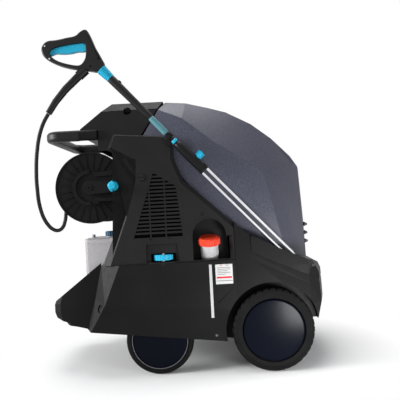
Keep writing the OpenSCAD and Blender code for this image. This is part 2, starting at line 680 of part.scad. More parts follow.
module front_rim_left() color(navy) at_wheel(fw_x, fw_r, fw_out, front_wheel_w, 1)
  rim(f_hub - 3, f_hub, front_wheel_w, 2.5);
module rear_tyre_right() color(black) at_wheel(rw_x, rw_r, rw_out, rear_wheel_w, -1) rear_tyre();
module rear_tyre_left() color(black) at_wheel(rw_x, rw_r, rw_out, rear_wheel_w, 1) rear_tyre();
module rear_rim_right() color(navy) at_wheel(rw_x, rw_r, rw_out, rear_wheel_w, -1)
  rim(r_hub, r_hub + 3.4, rear_wheel_w, 2.5);
module rear_rim_left() color(navy) at_wheel(rw_x, rw_r, rw_out, rear_wheel_w, 1)
  rim(r_hub, r_hub + 3.4, rear_wheel_w, 2.5);

// ---------- under the hood ----------

boil_x = 262;
boil_r = 150;
module boiler_shell() color(steel) translate([boil_x, 0, 0]) {
  difference() {
    zcyl(boil_r, floor_z + 4, 690);
    zcyl(boil_r - 6, floor_z + 14, 700);
  }
  // jacket of the heating coil round the burner space
  difference() {
    zcyl(116, floor_z + 13, 640);
    zcyl(108, floor_z + 60, 700);
  }
  for (z = [260, 450, 650]) difference() {
    zcyl(boil_r + 3, z, z + 18);
    zcyl(boil_r - 1, z - 1, z + 20);
  }
}
module boiler_lid() color(steel) difference() {
  union() {
    translate([boil_x, 0, 0]) {
      zcyl(boil_r + 6, 690 + gap, 700);
      zcyl(boil_r - 10, 700 - e, 726, 90);
    }
    // flue
    translate([flue_x, 0, 0]) {
      zcyl(40, 710, 900);
      zcyl(46, 740, 750);
    }
  }
  translate([flue_x, 0, 0]) zcyl(37, 640, 1000);
  for (a = [30 : 60 : 330]) translate([boil_x, 0, 0]) rotate([0, 0, a]) translate([boil_r - 2, 0, 0]) zcyl(4, 680, 710);
}
module burner_blower() color(black) translate([342, 0, 700 + gap]) {
  difference() {
    union() {
      translate([0, 0, 66]) ycyl(53, -40, 40);
      box([-30, -36, 0], [30, 36, 40]);
      box([-46, -36, 0], [40, 36, 26]);
    }
    translate([0, 0, 66]) ycyl(28, 34, 42);
    translate([0, 0, 66]) for (a = [0 : 30 : 330]) rotate([0, a, 0]) box([36, -42, -3], [48, -37, 3]);
    // seat on the cone of the lid
    translate([boil_x - 342, 0, 0]) zcyl(boil_r - 10, -e, 26, boil_r - 60);
  }
  translate([0, 0, 66]) ycyl(32, 40 - e, 92);
}
mot_x = -20;
mot_z = 314;
module motor() color(steel) difference() {
  union() {
    translate([mot_x, 0, mot_z]) {
      ycyl(78, 20, 190);
      ycyl(82, 190 - e, 226);
      ycyl(60, 8, 21);
      for (a = [0 : 15 : 345]) rotate([0, a, 0]) box([74, 30, -1.5], [84, 182, 1.5]);
      box([-34, 70, 74], [34, 150, 112]);
    }
    box([mot_x - 62, 40, floor_z + 4], [mot_x + 62, 170, floor_z + 12]);
    for (x = [-50, 38]) box([mot_x + x, 40, floor_z + 10], [mot_x + x + 12, 170, mot_z - 40]);
  }
  for (x = [-55, 55], y = [50, 160]) translate([mot_x + x, y, 0]) zcyl(4.5, floor_z, floor_z + 14);
}
module pump() color(steel) {
  difference() {
    union() {
      translate([mot_x, 0, mot_z]) {
        ycyl(58, -10, 8 - gap);
        box([-52, -76, -58], [52, -10 + e, 52]);
        for (z = [-40, -20, 0, 20]) box([-56, -72, z], [56, -16, z + 5]);
      }
      // brass head with three valve caps
      translate([mot_x, -76, mot_z]) {
        box([-60, -60, -34], [60, e, 36]);
        for (x = [-38, 0, 38]) translate([x, -30, 0]) zcyl(13, 35, 48, 12);
        for (x = [-38, 0, 38]) translate([x, 0, 2]) ycyl(12, -70, -59);
      }
      box([mot_x - 50, -72, floor_z + 4], [mot_x + 50, -16, mot_z - 57]);
    }
    translate([mot_x, 0, mot_z]) ycyl(12, -8, 12);
    translate([mot_x, -106, mot_z - 10]) xcyl(9, -80, 80);
  }
}
module unloader_valve() color([0.75, 0.6, 0.3]) translate([mot_x - 60, -106, mot_z - 10]) {
  xcyl(8.6, -30, 20);
  xcyl(17, -48, -gap);
  translate([-24, 0, 0]) zcyl(15, -24, 70);
  translate([-24, 0, 0]) zcyl(9, 69, 86);
  translate([-24, 0, 0]) zcyl(17, 40, 46);
}
module float_tank() color([0.9, 0.9, 0.9]) difference() {
  union() {
    box([bay_x + 9, -90, 420], [bay_x + 96, 90, 560]);
    box([bay_x + 4, -60, 556], [bay_x + 90, 60, 572]);
    translate([bay_x + 70, 40, 0]) zcyl(9, 395, 421);
    for (y = [-70, 60]) box([bay_x + gap, y, 430], [bay_x + 10, y + 12, 470]);
  }
  box([bay_x + 12, -87, 423], [bay_x + 93, 87, 557]);
  box([bay_x + 20, -50, 550], [bay_x + 80, 50, 580]);
}
tank_x1 = 112;
module fuel_tank() color(black) difference() {
  union() {
    xz([[-40, 242], [-10, floor_z + 4 + gap], [tank_x1, floor_z + 4 + gap], [tank_x1, 404 - wall - gap],
      [-40, 404 - wall - gap]], -326, -150);
    translate([80, -275, 0]) zcyl(40, 396 - wall, 404);
  }
  xz([[-36, 244], [-8, floor_z + 9], [tank_x1 - 4, floor_z + 9], [tank_x1 - 4, 396 - wall], [-36, 396 - wall]],
    -318, -154);
  volume_lip(1);
  translate([80, -275, 0]) zcyl(25, 380, 450);
  for (z = [250, 300, 350]) translate([-40, -350, z]) rotate([0, 90, 0]) cylinder(r = 25.5, h = 108, $fn = 24);
}
module electrics_box() color([0.5, 0.52, 0.55]) {
  difference() {
    box([bay_x + 9, -150, 640], [bay_x + 84, 110, 800]);
    box([bay_x + 12, -147, 643], [bay_x + 80, 107, 797]);
  }
  box([bay_x + 84 - e, -146, 644], [bay_x + 88, 106, 796]);
  for (z = [660, 770]) box([bay_x + gap, -120, z - (z > 700 ? 6 : 0)], [bay_x + 10, -100, z + 10]);
  for (z = [660, 770]) box([bay_x + gap, 60, z - (z > 700 ? 6 : 0)], [bay_x + 10, 80, z + 10]);
}
module water_inlet() color([0.75, 0.6, 0.3]) translate([0, 150, 470]) difference() {
  union() {
    xcyl(12.6, bay_x - 34, bay_x + 30);
    xcyl(17, bay_x - 18, bay_x - 4 - gap);
    translate([bay_x, 0, 0]) rotate([0, 90, 0]) cylinder(r = 20, h = 9, $fn = 6);
  }
  xcyl(9, bay_x - 40, bay_x + 40);
}
module cable_gland() color(black) translate([0, 210, 470]) difference() {
  union() {
    xcyl(8.6, bay_x - 22, bay_x + 14);
    translate([bay_x - 12 - gap, 0, 0]) rotate([0, 90, 0]) cylinder(r = 15, h = 8, $fn = 6);
    xcyl(12, bay_x - 26, bay_x - 12, 12);
    translate([bay_x + gap, 0, 0]) rotate([0, 90, 0]) cylinder(r = 13, h = 5, $fn = 6);
  }
  xcyl(5, bay_x - 40, bay_x + 40);
}

// ---------- fuel filler, gauge and volume control ----------

cap_a = 16;
neck_x = 80;
neck_y = -275;
module neck_frame() translate([neck_x, neck_y, deck_z + 5]) rotate([cap_a, 0, 0]) children();
module fuel_filler_neck() color([0.92, 0.92, 0.9]) difference() {
  union() {
    neck_frame() {
      zcyl(31, 10, 56, 33);
      zcyl(34, 50, 58);
    }
    translate([neck_x, neck_y, 0]) {
      zcyl(31, 404 + gap, deck_z + 22);
      zcyl(24.5, 394, 406);
    }
  }
  neck_frame() zcyl(28, 12, 90);
  translate([neck_x, neck_y, 0]) zcyl(22, 380, deck_z + 24);
}
module fuel_cap() color([0.85, 0.12, 0.08]) neck_frame() {
  difference() {
    rotate_extrude($fn = 64) polygon([[0, 58 + gap], [cap_d / 2 - 2, 58 + gap], [cap_d / 2, 61], [cap_d / 2, 80],
      [cap_d / 2 - 4, 84], [cap_d / 2 - 10, 84.5], [cap_d / 2 - 13, 82.5], [0, 82.5]]);
    for (a = [0 : 15 : 345]) rotate([0, 0, a]) translate([cap_d / 2 + 1.6, 0, 0]) zcyl(3, 56, 90);
  }
  // plug that enters the neck
  difference() {
    zcyl(28 - slide_fit, 44, 59);
    zcyl(24, 40, 57);
  }
}
module fuel_level_gauge() color([0.9, 0.9, 0.9]) {
  intersection() {
    xz([[75, 206], [85, 206], [85, 398], [75, 398]], -352, -333);
    yz([[-338.8, 400], [-349, 240], [-343.5, 200], [-340, 200], [-346, 240], [-336, 400]], 60, 100);
  }
}
vol_y = -300;
module volume_knob() color(blue) translate([-91, vol_y, 0]) difference() {
  union() {
    zcyl(volume_d / 2 - 2, 421, 423, volume_d / 2);
    zcyl(volume_d / 2, 423 - e, 439);
    zcyl(volume_d / 2, 439 - e, 441, volume_d / 2 - 2);
  }
  for (a = [0 : 20 : 340]) rotate([0, 0, a]) translate([volume_d / 2 + 2.2, 0, 0]) zcyl(4, 415, 450);
  zcyl(6 + run_fit, 410, 450);
}
module volume_spindle() color(steel) translate([-91, vol_y, 0]) {
  zcyl(6, 412, 462);
  zcyl(9, 416 + gap, 420.6);
}

// ---------- detergent jug ----------

jug_x0 = -415;
jug_x1 = -262;
jug_y0 = -205;
jug_y1 = -5;
function rrect(x0, y0, x1, y1, r, z) = [for (c = [[x1 - r, y1 - r, 0], [x0 + r, y1 - r, 90], [x0 + r, y0 + r, 180],
  [x1 - r, y0 + r, 270]], a = [0 : 22.5 : 90]) [c[0] + r * cos(c[2] + a), c[1] + r * sin(c[2] + a), z]];
module jug_form(d) loft([
  rrect(jug_x0 + 6 + d, jug_y0 + 6 + d, jug_x1 - 6 - d, jug_y1 - 6 - d, 18, 290.3 + d),
  rrect(jug_x0 + d, jug_y0 + d, jug_x1 - d, jug_y1 - d, 24, 302 + d),
  rrect(jug_x0 + d, jug_y0 + d, jug_x1 - d, jug_y1 - d, 24, 494 - d),
  rrect(jug_x0 + 5 + d, jug_y0 + 5 + d, jug_x1 - 5 - d, jug_y1 - 5 - d, 22, 504 - d),
  rrect(jug_x0 + 16 + d, jug_y0 + 16 + d, jug_x1 - 16 - d, jug_y1 - 16 - d, 16, 509 - d)]);
jcap_x = -308;
jcap_y = -120;
module detergent_jug() color([0.92, 0.93, 0.93]) difference() {
  union() {
    jug_form(0);
    translate([jcap_x, jcap_y, 0]) zcyl(19, 506, 526);
    translate([-385, -120, 0]) {
      zcyl(11, 506, 512);
      zcyl(9, 511, 521);
    }
  }
  jug_form(2.5);
  translate([jcap_x, jcap_y, 0]) zcyl(16, 490, 540);
}
module jug_cap() color([0.15, 0.3, 0.42]) translate([jcap_x, jcap_y, 0]) difference() {
  union() {
    zcyl(26, 512, 530);
    zcyl(26, 530 - e, 532, 24);
    for (a = [0 : 20 : 340]) rotate([0, 0, a]) translate([26, 0, 0]) zcyl(1.6, 513, 529);
  }
  zcyl(19 + slide_fit, 500, 526 + gap);
}

// ---------- hose reel ----------

module reel_bracket(ys, yo, sgn) {
  // beam with a ribbed edge above and below, ending in a round boss
  translate([reel_x, 0, reel_z]) difference() {
    union() {
      ycyl(66, ys, yo);
      xz([[0, -50], [bay_x - reel_x - 8, -58], [bay_x - reel_x - 8, 66], [0, 56]], ys, yo);
      a = sgn < 0 ? ys - 8 : yo - e;
      xz([[20, 40], [bay_x - reel_x - 8, 48], [bay_x - reel_x - 8, 66], [8, 56]], a, a + 8 + e);
      xz([[10, -50], [bay_x - reel_x - 8, -58], [bay_x - reel_x - 8, -42], [16, -38]], a, a + 8 + e);
      difference() {
        ycyl(66, a, a + 8 + e);
        ycyl(54, a - 1, a + 10);
        box([0, a - 2, -80], [80, a + 12, 80]);
      }
      ycyl(28, a, a + 8 + e);
      // foot against the rear panel
      box([bay_x - reel_x - 13, sgn < 0 ? ys - 10 : ys - 30, -70],
        [bay_x - reel_x - 4 - gap, sgn < 0 ? yo + 30 : yo + 10, 78]);
    }
    ycyl(shaft_r + run_fit, ys - 20, yo + 20);
    for (z = [-62, 70]) translate([0, (ys + yo) / 2 - sgn * 16, z]) xcyl(4, 130, 180);
  }
}
module reel_bracket_right() color(black) reel_bracket(reel_y0 - 14, reel_y0 - 6, -1);
module reel_bracket_left() color(black) reel_bracket(reel_y1 + 6, reel_y1 + 14, 1);

// ribbed disc: its inner face at y = 0, ribs between two rims on the outside
module flange() rotate([0, 7.5, 0]) {
  rotate([-90, 0, 0]) rotate_extrude($fn = 96) polygon([[10, 0], [flange_r - 1, 0], [flange_r, 1], [flange_r, 7],
    [flange_r - 1, 8], [flange_r - 5, 8], [flange_r - 5, 4], [72, 4], [72, 8], [68, 8], [68, 4], [10, 4]]);
  for (a = [0 : 15 : 345]) rotate([0, a, 0]) box([70, 2, -1.5], [flange_r - 3, 7.5, 1.5]);
}
module hose_reel() color(black) translate([reel_x, 0, reel_z]) {
  translate([0, reel_y1 - 4, 0]) flange();
  translate([0, reel_y0 + 4, 0]) mirror([0, 1, 0]) flange();
  rotate([-90, 0, 0]) rotate_extrude($fn = 96) polygon([[shaft_r, reel_y0 - 34], [shaft_r, reel_y0 - 5.6],
    [shaft_r + 8, reel_y0 - 5.6], [shaft_r + 8, reel_y0 + 2], [drum_d / 2, reel_y0 + 2], [drum_d / 2, reel_y1 - 2],
    [shaft_r + 8, reel_y1 - 2], [shaft_r + 8, reel_y1 + 5.6], [shaft_r, reel_y1 + 5.6], [shaft_r, reel_y1 + 22],
    [0, reel_y1 + 22], [0, reel_y1 - 12], [drum_d / 2 - 5, reel_y1 - 12], [drum_d / 2 - 5, reel_y0 + 12],
    [0, reel_y0 + 12], [0, reel_y0 - 34]]);
}
// outer layer of hose: one tube wound at a steady pitch
coil_pitch = (reel_y1 - reel_y0 - 8 - hose_d - 4) / hose_turns;
coil_steps = (hose_turns - 1) * 24;
// first lane, kept for the end of the free hose that comes up at the back
lane_y = reel_y0 + 4 + hose_r + 2;
function on_drum(t, y) = [reel_x - coil_r * cos(t), y, reel_z + coil_r * sin(t)];
coil_pts = [for (i = [0 : coil_steps]) on_drum(180 + i * 15, lane_y + coil_pitch * (1 + i / 24))];
coil_gap = coil_pitch * 0.998 - hose_d;
echo(coil_gap = coil_gap);
module tube(pts, r, sides) {
  loft([for (i = [0 : len(pts) - 1]) let (
      a = pts[max(i - 1, 0)], b = pts[min(i + 1, len(pts) - 1)], t = (b - a) / norm(b - a),
      q = abs(t[1]) > 0.9 ? [1, 0, 0] : [0, 1, 0], u0 = cross(q, t), u = u0 / norm(u0), v = cross(t, u))
    [for (k = [0 : sides - 1]) pts[i] + r * (cos(k * 360 / sides) * u + sin(k * 360 / sides) * v)]], true);
}
module hose_coil() color(black) tube(coil_pts, hose_r, 6);

crank_y = reel_y0 - 34;
module crank_arm() color(black) translate([reel_x, 0, reel_z]) difference() {
  union() {
    ycyl(26, crank_y - 2, crank_y + 10);
    xz([[0, -26], [crank_reach, -20], [crank_reach, 20], [0, 26]], crank_y - 2, crank_y + 8);
    translate([crank_reach, 0, 0]) ycyl(20, crank_y - 2, crank_y + 8);
    translate([crank_reach, 0, 0]) ycyl(6, crank_y - 60, crank_y);
    translate([crank_reach, 0, 0]) ycyl(9, crank_y - 60, crank_y - 57.5);
    ycyl(11, crank_y - 6, crank_y);
  }
  ycyl(shaft_r + slide_fit, crank_y - e, crank_y + 20);
  rotate([90, 0, 0]) translate([0, 0, -crank_y + 3]) cylinder(r = 4, h = 10, $fn = 6);
}
module crank_grip() color(blue) translate([reel_x + crank_reach, 0, reel_z]) difference() {
  rotate([90, 0, 0]) rotate_extrude($fn = 48) translate([0, -crank_y + 2]) polygon([[6 + run_fit, gap], [23, gap],
    [23.7, 3], [23, 8], [17.5, 20], [14.5, 44], [14, 56], [14.5, 66], [13.5, 73], [10, 76], [0, 76.5],
    [0, 60], [9 + gap, 60], [9 + gap, 55], [6 + run_fit, 55]]);
}

// ---------- gun, lance and hose ----------

module on_lance(s = 0) translate([lan_x0, lan_y, lan_z0]) rotate([0, lan_a, 0]) translate([s, 0, 0]) children();

gun_ctrl = [[-493, 1190], [-500, 1222], [-478, 1247], [-440, 1247], [-400, 1255], [-370, 1258], [-352, 1275],
  [-330, 1284], [-318, 1262], [-306, 1230], [-290, 1184], [-264, 1150], [-290, 1122], [-330, 1131],
  [-380, 1138], [-430, 1152], [-470, 1172]];
gap_ctrl = [[-470, 1200], [-458, 1216], [-410, 1226], [-376, 1229], [-338, 1232], [-334, 1215], [-336, 1180],
  [-344, 1164], [-358, 1149], [-389, 1153], [-437, 1168], [-462, 1186]];
gun_pts = smooth(gun_ctrl);
gap_pts = smooth(gap_ctrl);
// side outline with crowned outer edges, from the middle plane outwards to +Y
function stand(p, y) = [for (q = rev(p)) [q[0], y, q[1]]];
module gun_half() {
  w = gun_w / 2;
  difference() {
    loft([stand(rev(gun_pts), 0.15), stand(rev(gun_pts), w - 6), stand(inset_out(gun_pts, 2), w - 2),
      stand(inset_out(gun_pts, 5), w)], true);
    loft([stand(rev(gap_pts), -1), stand(rev(gap_pts), w - 6), stand(inset_out(gap_pts, -1), w - 2),
      stand(inset_out(gap_pts, -4), w + 1)]);
  }
}
function inset_out(p, d) = rev(rev(inset(rev(p), d)));
trig_px = -324;
trig_pz = 1224;
trig_ctrl = [[-466, 1211], [-472, 1200], [-464, 1192], [-447, 1201], [-427, 1197], [-391, 1197], [-366, 1203],
  [-344, 1201], [-326, 1206], [-316, 1214], [-315, 1232], [-326, 1241], [-345, 1239], [-366, 1234], [-400, 1229],
  [-440, 1222], [-458, 1217]];
module gun_shells() color(black) translate([0, lan_y, 0]) difference() {
  union() {
    gun_half();
    mirror([0, 1, 0]) gun_half();
  }
  // slot the trigger swings into
  xz(smooth([[-482, 1196], [-456, 1190], [-400, 1190], [-330, 1192], [-314, 1206], [-310, 1232], [-322, 1247],
    [-366, 1247], [-400, 1246], [-440, 1243], [-470, 1236], [-486, 1215]], 1), -10.6, 10.6);
  translate([trig_px, 0, trig_pz]) ycyl(4 + run_fit, -14, 14);
  // seats of the valve, the collar and the screws
  translate([0, -lan_y, 0]) {
    on_lance() xcyl(15 + gap, -57, 80);
    on_lance() xcyl(20 + gap, 1 - gap, 60);
    along([-315, 1161], slv[0]) zcyl(9 + gap, -16, 90);
    along(slv[0], slv[1]) zcyl(boot_r + gap, -14 - gap, 40);
  }
  for (p = [[-483, 1226], [-468, 1179], [-290, 1170], [-320, 1144]])
    translate([p[0], 0, p[1]]) ycyl(4, -30, -gun_w / 2 + 2.2);
}
module trigger() color(blue) translate([0, lan_y, 0]) {
  xz(smooth(trig_ctrl), -9.6, 9.6);
  translate([trig_px, 0, trig_pz]) ycyl(4, -13, 13);
}
// valve body in the gun, its outlet spigot and the hose inlet
slv = [[-352, 1128], [-420, 1067], [-458, 1024], [-486, 983]];
boot_r = 19;
module along(a, b) {
  translate([a[0], lan_y, a[1]]) rotate([0, 90 - atan2(b[1] - a[1], b[0] - a[0]) + 0, 0]) children();
}
module gun_valve() color(steel) {
  on_lance() {
    xcyl(15, -56, -2);
    xcyl(11, -3, 14);
  }
  along([-315, 1161], slv[0]) zcyl(9, -16, norm([-315, 1161] - slv[0]) + 14);
}
// strain relief: a smooth boot, then close shallow ribs on a tapering sleeve
module hose_sleeve() color(black) difference() {
  union() {
    along(slv[0], slv[1]) {
      zcyl(boot_r, -14, 22, boot_r - 1.2);
      zcyl(14.1, 20, norm(slv[1] - slv[0]) + 1, 13);
      for (i = [0 : 11]) zcyl(15.4 - i * 0.1, 24 + i * 5.6, 27.6 + i * 5.6);
    }
    for (k = [1, 2]) {
      r = k == 1 ? 14.1 : 13;
      translate([slv[k][0], lan_y, slv[k][1]]) sphere(r - 0.6);
      along(slv[k], slv[k + 1]) {
        l = norm(slv[k + 1] - slv[k]);
        zcyl(r - 1.2, -1, l + 1, r - 2.2);
        for (i = [0 : 8]) zcyl(r - i * 0.1, l * (i + 0.3) / 9, l * (i + 0.93) / 9);
      }
    }
  }
  along([-315, 1161], slv[0]) zcyl(9 + gap, -16, norm([-315, 1161] - slv[0]) + 14 + gap);
}
module lance() color(black) {
  on_lance() {
    // ribbed collar of the quick coupling
    difference() {
      xcyl(20, 1, 48, 16.5);
      for (i = [0 : 5]) translate([8 + i * 6.5, 0, 0]) difference() {
        xcyl(30, 0, 2);
        xcyl(17.6 - i * 0.45, -1, 3);
      }
      xcyl(11 + slide_fit, 0, 14.5);
    }
    // grip tube
    rotate([0, 90, 0]) rotate_extrude() polygon([[0, 48 - e], [15.5, 48 - e], [15.8, 60], [15, 110], [14, 160], [grip_d / 2, 250],
      [grip_d / 2, 255], [0, 255]]);
    rotate([0, 90, 0]) rotate_extrude() polygon([[0, 254], [10, 254], [11.5, 262], [12, 330], [9, 337], [0, 337]]);
    xcyl(8, 336, 380);
    // release button
    translate([80, 0, 10]) zcyl(7, 0, 9, 6);
    // valve block with its steel insert
    xcyl(13.5, 372, 392);
    difference() {
      rotate([0, 90, 0]) translate([0, 0, 390]) rotate_extrude() polygon([[0, 0], [13.5, 0], [17, 24], [18, 60],
        [17, 118], [15, 142], [0, 142]]);
      translate([478, 0, 0]) zcyl(7 + slide_fit, 12, 30);
    }
    translate([512, 0, 0]) box([0, -8, -18], [22, 8, 20]);
  }
  // twin tubes with bent ends
  for (n = [-10.5, 12.5]) {
    on_lance(0) translate([0, 0, n]) xcyl(tube_d / 2, 528, n < 0 ? 974 : 972);
    on_lance(n < 0 ? 974 : 972) translate([0, 0, n]) sphere(tube_d / 2);
    on_lance(n < 0 ? 974 : 972) translate([0, 0, n]) rotate([0, n < 0 ? 3 : 9, 0]) {
      xcyl(tube_d / 2, 0, n < 0 ? 14 : 50);
      xcyl(tube_d / 2 + 1.5, n < 0 ? 12 : 44, n < 0 ? 26 : 62);
    }
  }
}
module lance_knob() color(blue) on_lance() translate([478, 0, 0]) {
  zcyl(7, 12.5, 22);
  for (a = [0, 90]) rotate([0, 0, a]) box([-14, -4.5, 20], [14, 4.5, 42]);
  zcyl(9, 18.6, 34);
}
module lance_holder() color(black) {
  on_lance(350) difference() {
    union() {
      xcyl(15, -8, 8);
      rotate([0, -lan_a, 0]) box([-9, -9, -36], [3.5, -lan_y - pan_w(840) - gap, -10]);
    }
    xcyl(8 + gap, -20, 20);
    translate([0, 0, 8]) box([-40, -6.5, -8], [40, 6.5, 30]);
  }
}
// strain relief sleeve and the free hose down to the reel
hose_pts = [[-486.9, lan_y, 981.7], [-506, lan_y, 950], [-518, lan_y, 922],
  [-529, -304, 886], [-536, -303, 849], [-541, -302, 813], [-544, -300, 776], [-546, -297, 739], [-546, -293, 703],
  [-545, -289, 666], [-541, -283, 632], [-534, -274, 600], [-522, -263, 572], [-508, -250, 554], [-493, -238, 548],
  [-479, -228, 556], [-469, -221, 580], [-464, -219, 610], [-460, -220, 645], [-457.2, -223, 675], [-453.4, -225, 692]];
module hose() color(black) tube(concat(hose_pts, [for (t = [0 : 15 : 165]) on_drum(t, lane_y)]), hose_r, 10);

lower_body();
rear_tray();
side_panel_right();
side_panel_left();
rear_panel();
console();
control_panel();
storage_tray();
storage_lid();
handle();
handle_brackets();
front_bumper();
hood();
flue_grille();
hood_hinge_rod();
chassis_frame();
front_axle();
rear_axle();
front_tyre_right();
front_tyre_left();
front_rim_right();
front_rim_left();
rear_tyre_right();
rear_tyre_left();
rear_rim_right();
rear_rim_left();
boiler_shell();
boiler_lid();
burner_blower();
motor();
pump();
unloader_valve();
float_tank();
fuel_tank();
electrics_box();
water_inlet();
cable_gland();
fuel_filler_neck();
fuel_cap();
fuel_level_gauge();
volume_knob();
volume_spindle();
detergent_jug();
jug_cap();
main_switch();
thermostat_knob();
reel_bracket_right();
reel_bracket_left();
hose_reel();
hose_coil();
crank_arm();
crank_grip();
hose_sleeve();
lance_holder();
gun_shells();
gun_valve();
trigger();
lance();
lance_knob();
hose();
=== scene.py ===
import json
import math
import bmesh
import bpy
from mathutils import Matrix, Vector


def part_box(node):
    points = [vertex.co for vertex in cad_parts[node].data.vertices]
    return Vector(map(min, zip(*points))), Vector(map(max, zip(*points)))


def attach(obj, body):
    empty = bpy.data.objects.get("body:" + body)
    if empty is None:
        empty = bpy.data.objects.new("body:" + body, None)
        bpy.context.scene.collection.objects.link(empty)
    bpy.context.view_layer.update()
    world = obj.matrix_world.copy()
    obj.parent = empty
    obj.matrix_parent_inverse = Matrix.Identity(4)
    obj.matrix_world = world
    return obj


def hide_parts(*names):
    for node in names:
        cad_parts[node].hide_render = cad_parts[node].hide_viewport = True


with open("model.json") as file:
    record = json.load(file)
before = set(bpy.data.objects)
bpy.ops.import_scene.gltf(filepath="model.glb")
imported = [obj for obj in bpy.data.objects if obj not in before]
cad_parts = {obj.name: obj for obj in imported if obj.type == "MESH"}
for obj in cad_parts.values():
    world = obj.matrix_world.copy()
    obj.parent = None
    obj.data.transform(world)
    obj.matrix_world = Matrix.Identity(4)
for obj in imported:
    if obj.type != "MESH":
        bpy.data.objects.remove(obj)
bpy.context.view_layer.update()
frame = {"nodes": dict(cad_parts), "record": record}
nodes = frame["nodes"]
print("stage: frame loaded,", len(nodes), "nodes")


def link(data, name):
    piece = bpy.data.objects.new(name, data)
    bpy.context.scene.collection.objects.link(piece)
    return piece


def turnBy(degrees, axis):
    return Matrix.Rotation(math.radians(degrees), 4, axis)


cameraSetup = {
    "place": (0.090, -2.333, 0.607),
    "lens": 49.5,
    "sensor": 36.0,
    "shift": (-0.025, 0.0175),
    "roll": 3.0,
    "clip": (0.05, 30.0),
}


# looks level along +Y
def makeCamera():
    data = bpy.data.cameras.new("camera")
    data.lens = cameraSetup["lens"]
    data.sensor_width = cameraSetup["sensor"]
    data.shift_x, data.shift_y = cameraSetup["shift"]
    data.clip_start, data.clip_end = cameraSetup["clip"]
    cam = link(data, "camera")
    aim = turnBy(90, "X") @ turnBy(-cameraSetup["roll"], "Z")
    cam.matrix_world = Matrix.Translation(cameraSetup["place"]) @ aim
    bpy.context.scene.camera = cam


makeCamera()

smoothAngle = 35.0    # an edge between faces at a larger angle stays sharp
mergeDistance = 1e-6


def fromBmesh(bm, name):
    bmesh.ops.recalc_face_normals(bm, faces=bm.faces)
    mesh = bpy.data.meshes.new(name)
    bm.to_mesh(mesh)
    bm.free()
    mesh.shade_smooth()
    mesh.set_sharp_from_angle(angle=math.radians(smoothAngle))
    return link(mesh, name)


def paint(piece, mat):
    piece.data.materials.clear()
    piece.data.materials.append(mat)


# gives a new piece its finish and its body, and hides the node that it stands for
def dress(piece, mat, body, standsFor=None):
    paint(piece, mat)
    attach(piece, body)
    if standsFor:
        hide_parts(standsFor)


# a profile of (along, radius) pairs turned about the x axis, then set in place
def turned(name, profile, place, sides):
    bm = bmesh.new()
    verts = [bm.verts.new((along, 0, radius)) for along, radius in profile]
    edges = [bm.edges.new(pair) for pair in zip(verts, verts[1:])]
    bmesh.ops.spin(bm, geom=verts + edges, cent=(0, 0, 0), axis=(1, 0, 0), angle=2 * math.pi,
                   steps=sides, use_merge=True)
    bmesh.ops.remove_doubles(bm, verts=bm.verts, dist=mergeDistance)
    bmesh.ops.transform(bm, matrix=place, verts=bm.verts)
    return fromBmesh(bm, name)


# a profile with its ends brought in to the axis
def closed(profile):
    return [(profile[0][0], 0.0)] + profile + [(profile[-1][0], 0.0)]


# a cube scaled to a size and moved to its centre, with rounded edges
def addBlock(bm, centre, size, bevel, segments):
    bmesh.ops.create_cube(bm, size=1.0)
    bmesh.ops.scale(bm, vec=size, verts=bm.verts)
    bmesh.ops.translate(bm, vec=centre, verts=bm.verts)
    bmesh.ops.bevel(bm, geom=bm.edges, offset=bevel, offset_type="OFFSET", affect="EDGES",
                    segments=segments, profile=0.5, material=-1)


def block(name, centre, size, place, bevel, segments):
    bm = bmesh.new()
    addBlock(bm, centre, size, bevel, segments)
    bmesh.ops.transform(bm, matrix=place, verts=bm.verts)
    return fromBmesh(bm, name)


# thickens the faces of a flat shape along z
def thicken(bm, faces, height):
    grown = bmesh.ops.extrude_face_region(bm, geom=faces)
    bmesh.ops.translate(bm, vec=(0, 0, height),
                        verts=[g for g in grown["geom"] if isinstance(g, bmesh.types.BMVert)])


# an empty curve with a round section and closed ends
def roundCurve(name, radius, sectionSteps):
    curve = bpy.data.curves.new(name, "CURVE")
    curve.dimensions = "3D"
    curve.bevel_depth = radius
    curve.bevel_resolution = sectionSteps
    curve.use_fill_caps = True
    return curve


def tubeAlong(name, points, radius, sectionSteps):
    curve = roundCurve(name, radius, sectionSteps)
    line = curve.splines.new("POLY")
    line.points.add(len(points) - 1)
    for place, point in zip(line.points, points):
        place.co = (*point, 1.0)
    line.use_smooth = True
    return link(curve, name)


def newMaterial(name):
    mat = bpy.data.materials.new(name)
    mat.use_nodes = True
    shader = next(n for n in mat.node_tree.nodes if n.type == "BSDF_PRINCIPLED")
    return mat, mat.node_tree, shader


# a new node; a value goes to the input of that name, and otherwise to the node itself
def add(tree, kind, **values):
    node = tree.nodes.new(kind)
    for key, value in values.items():
        name = key.replace("_", " ")
        if name in node.inputs:
            node.inputs[name].default_value = value
        else:
            setattr(node, key, value)
    return node


def wire(tree, source, node, socket):
    tree.links.new(source, node.inputs[socket])


def objectCoords(tree):
    return add(tree, "ShaderNodeTexCoord").outputs["Object"]


def noise(tree, coords, scale, detail, roughness):
    node = add(tree, "ShaderNodeTexNoise", Scale=scale, Detail=detail, Roughness=roughness)
    wire(tree, coords, node, "Vector")
    return node.outputs["Fac"]


def ramp(tree, source, low, high, span=(0.0, 1.0)):
    node = add(tree, "ShaderNodeValToRGB")
    for stop, position, colour in zip(node.color_ramp.elements, span, (low, high)):
        stop.position = position
        stop.color = (*colour, 1)
    wire(tree, source, node, "Fac")
    return node.outputs["Color"]


def mapRange(tree, source, low, high, fromLow=0.0, fromHigh=1.0):
    node = add(tree, "ShaderNodeMapRange", From_Min=fromLow, From_Max=fromHigh, To_Min=low, To_Max=high)
    wire(tree, source, node, "Value")
    return node.outputs["Result"]


def combine(tree, operation, first, second):
    node = add(tree, "ShaderNodeMath", operation=operation)
    wire(tree, first, node, 0)
    wire(tree, second, node, 1)
    return node.outputs["Value"]


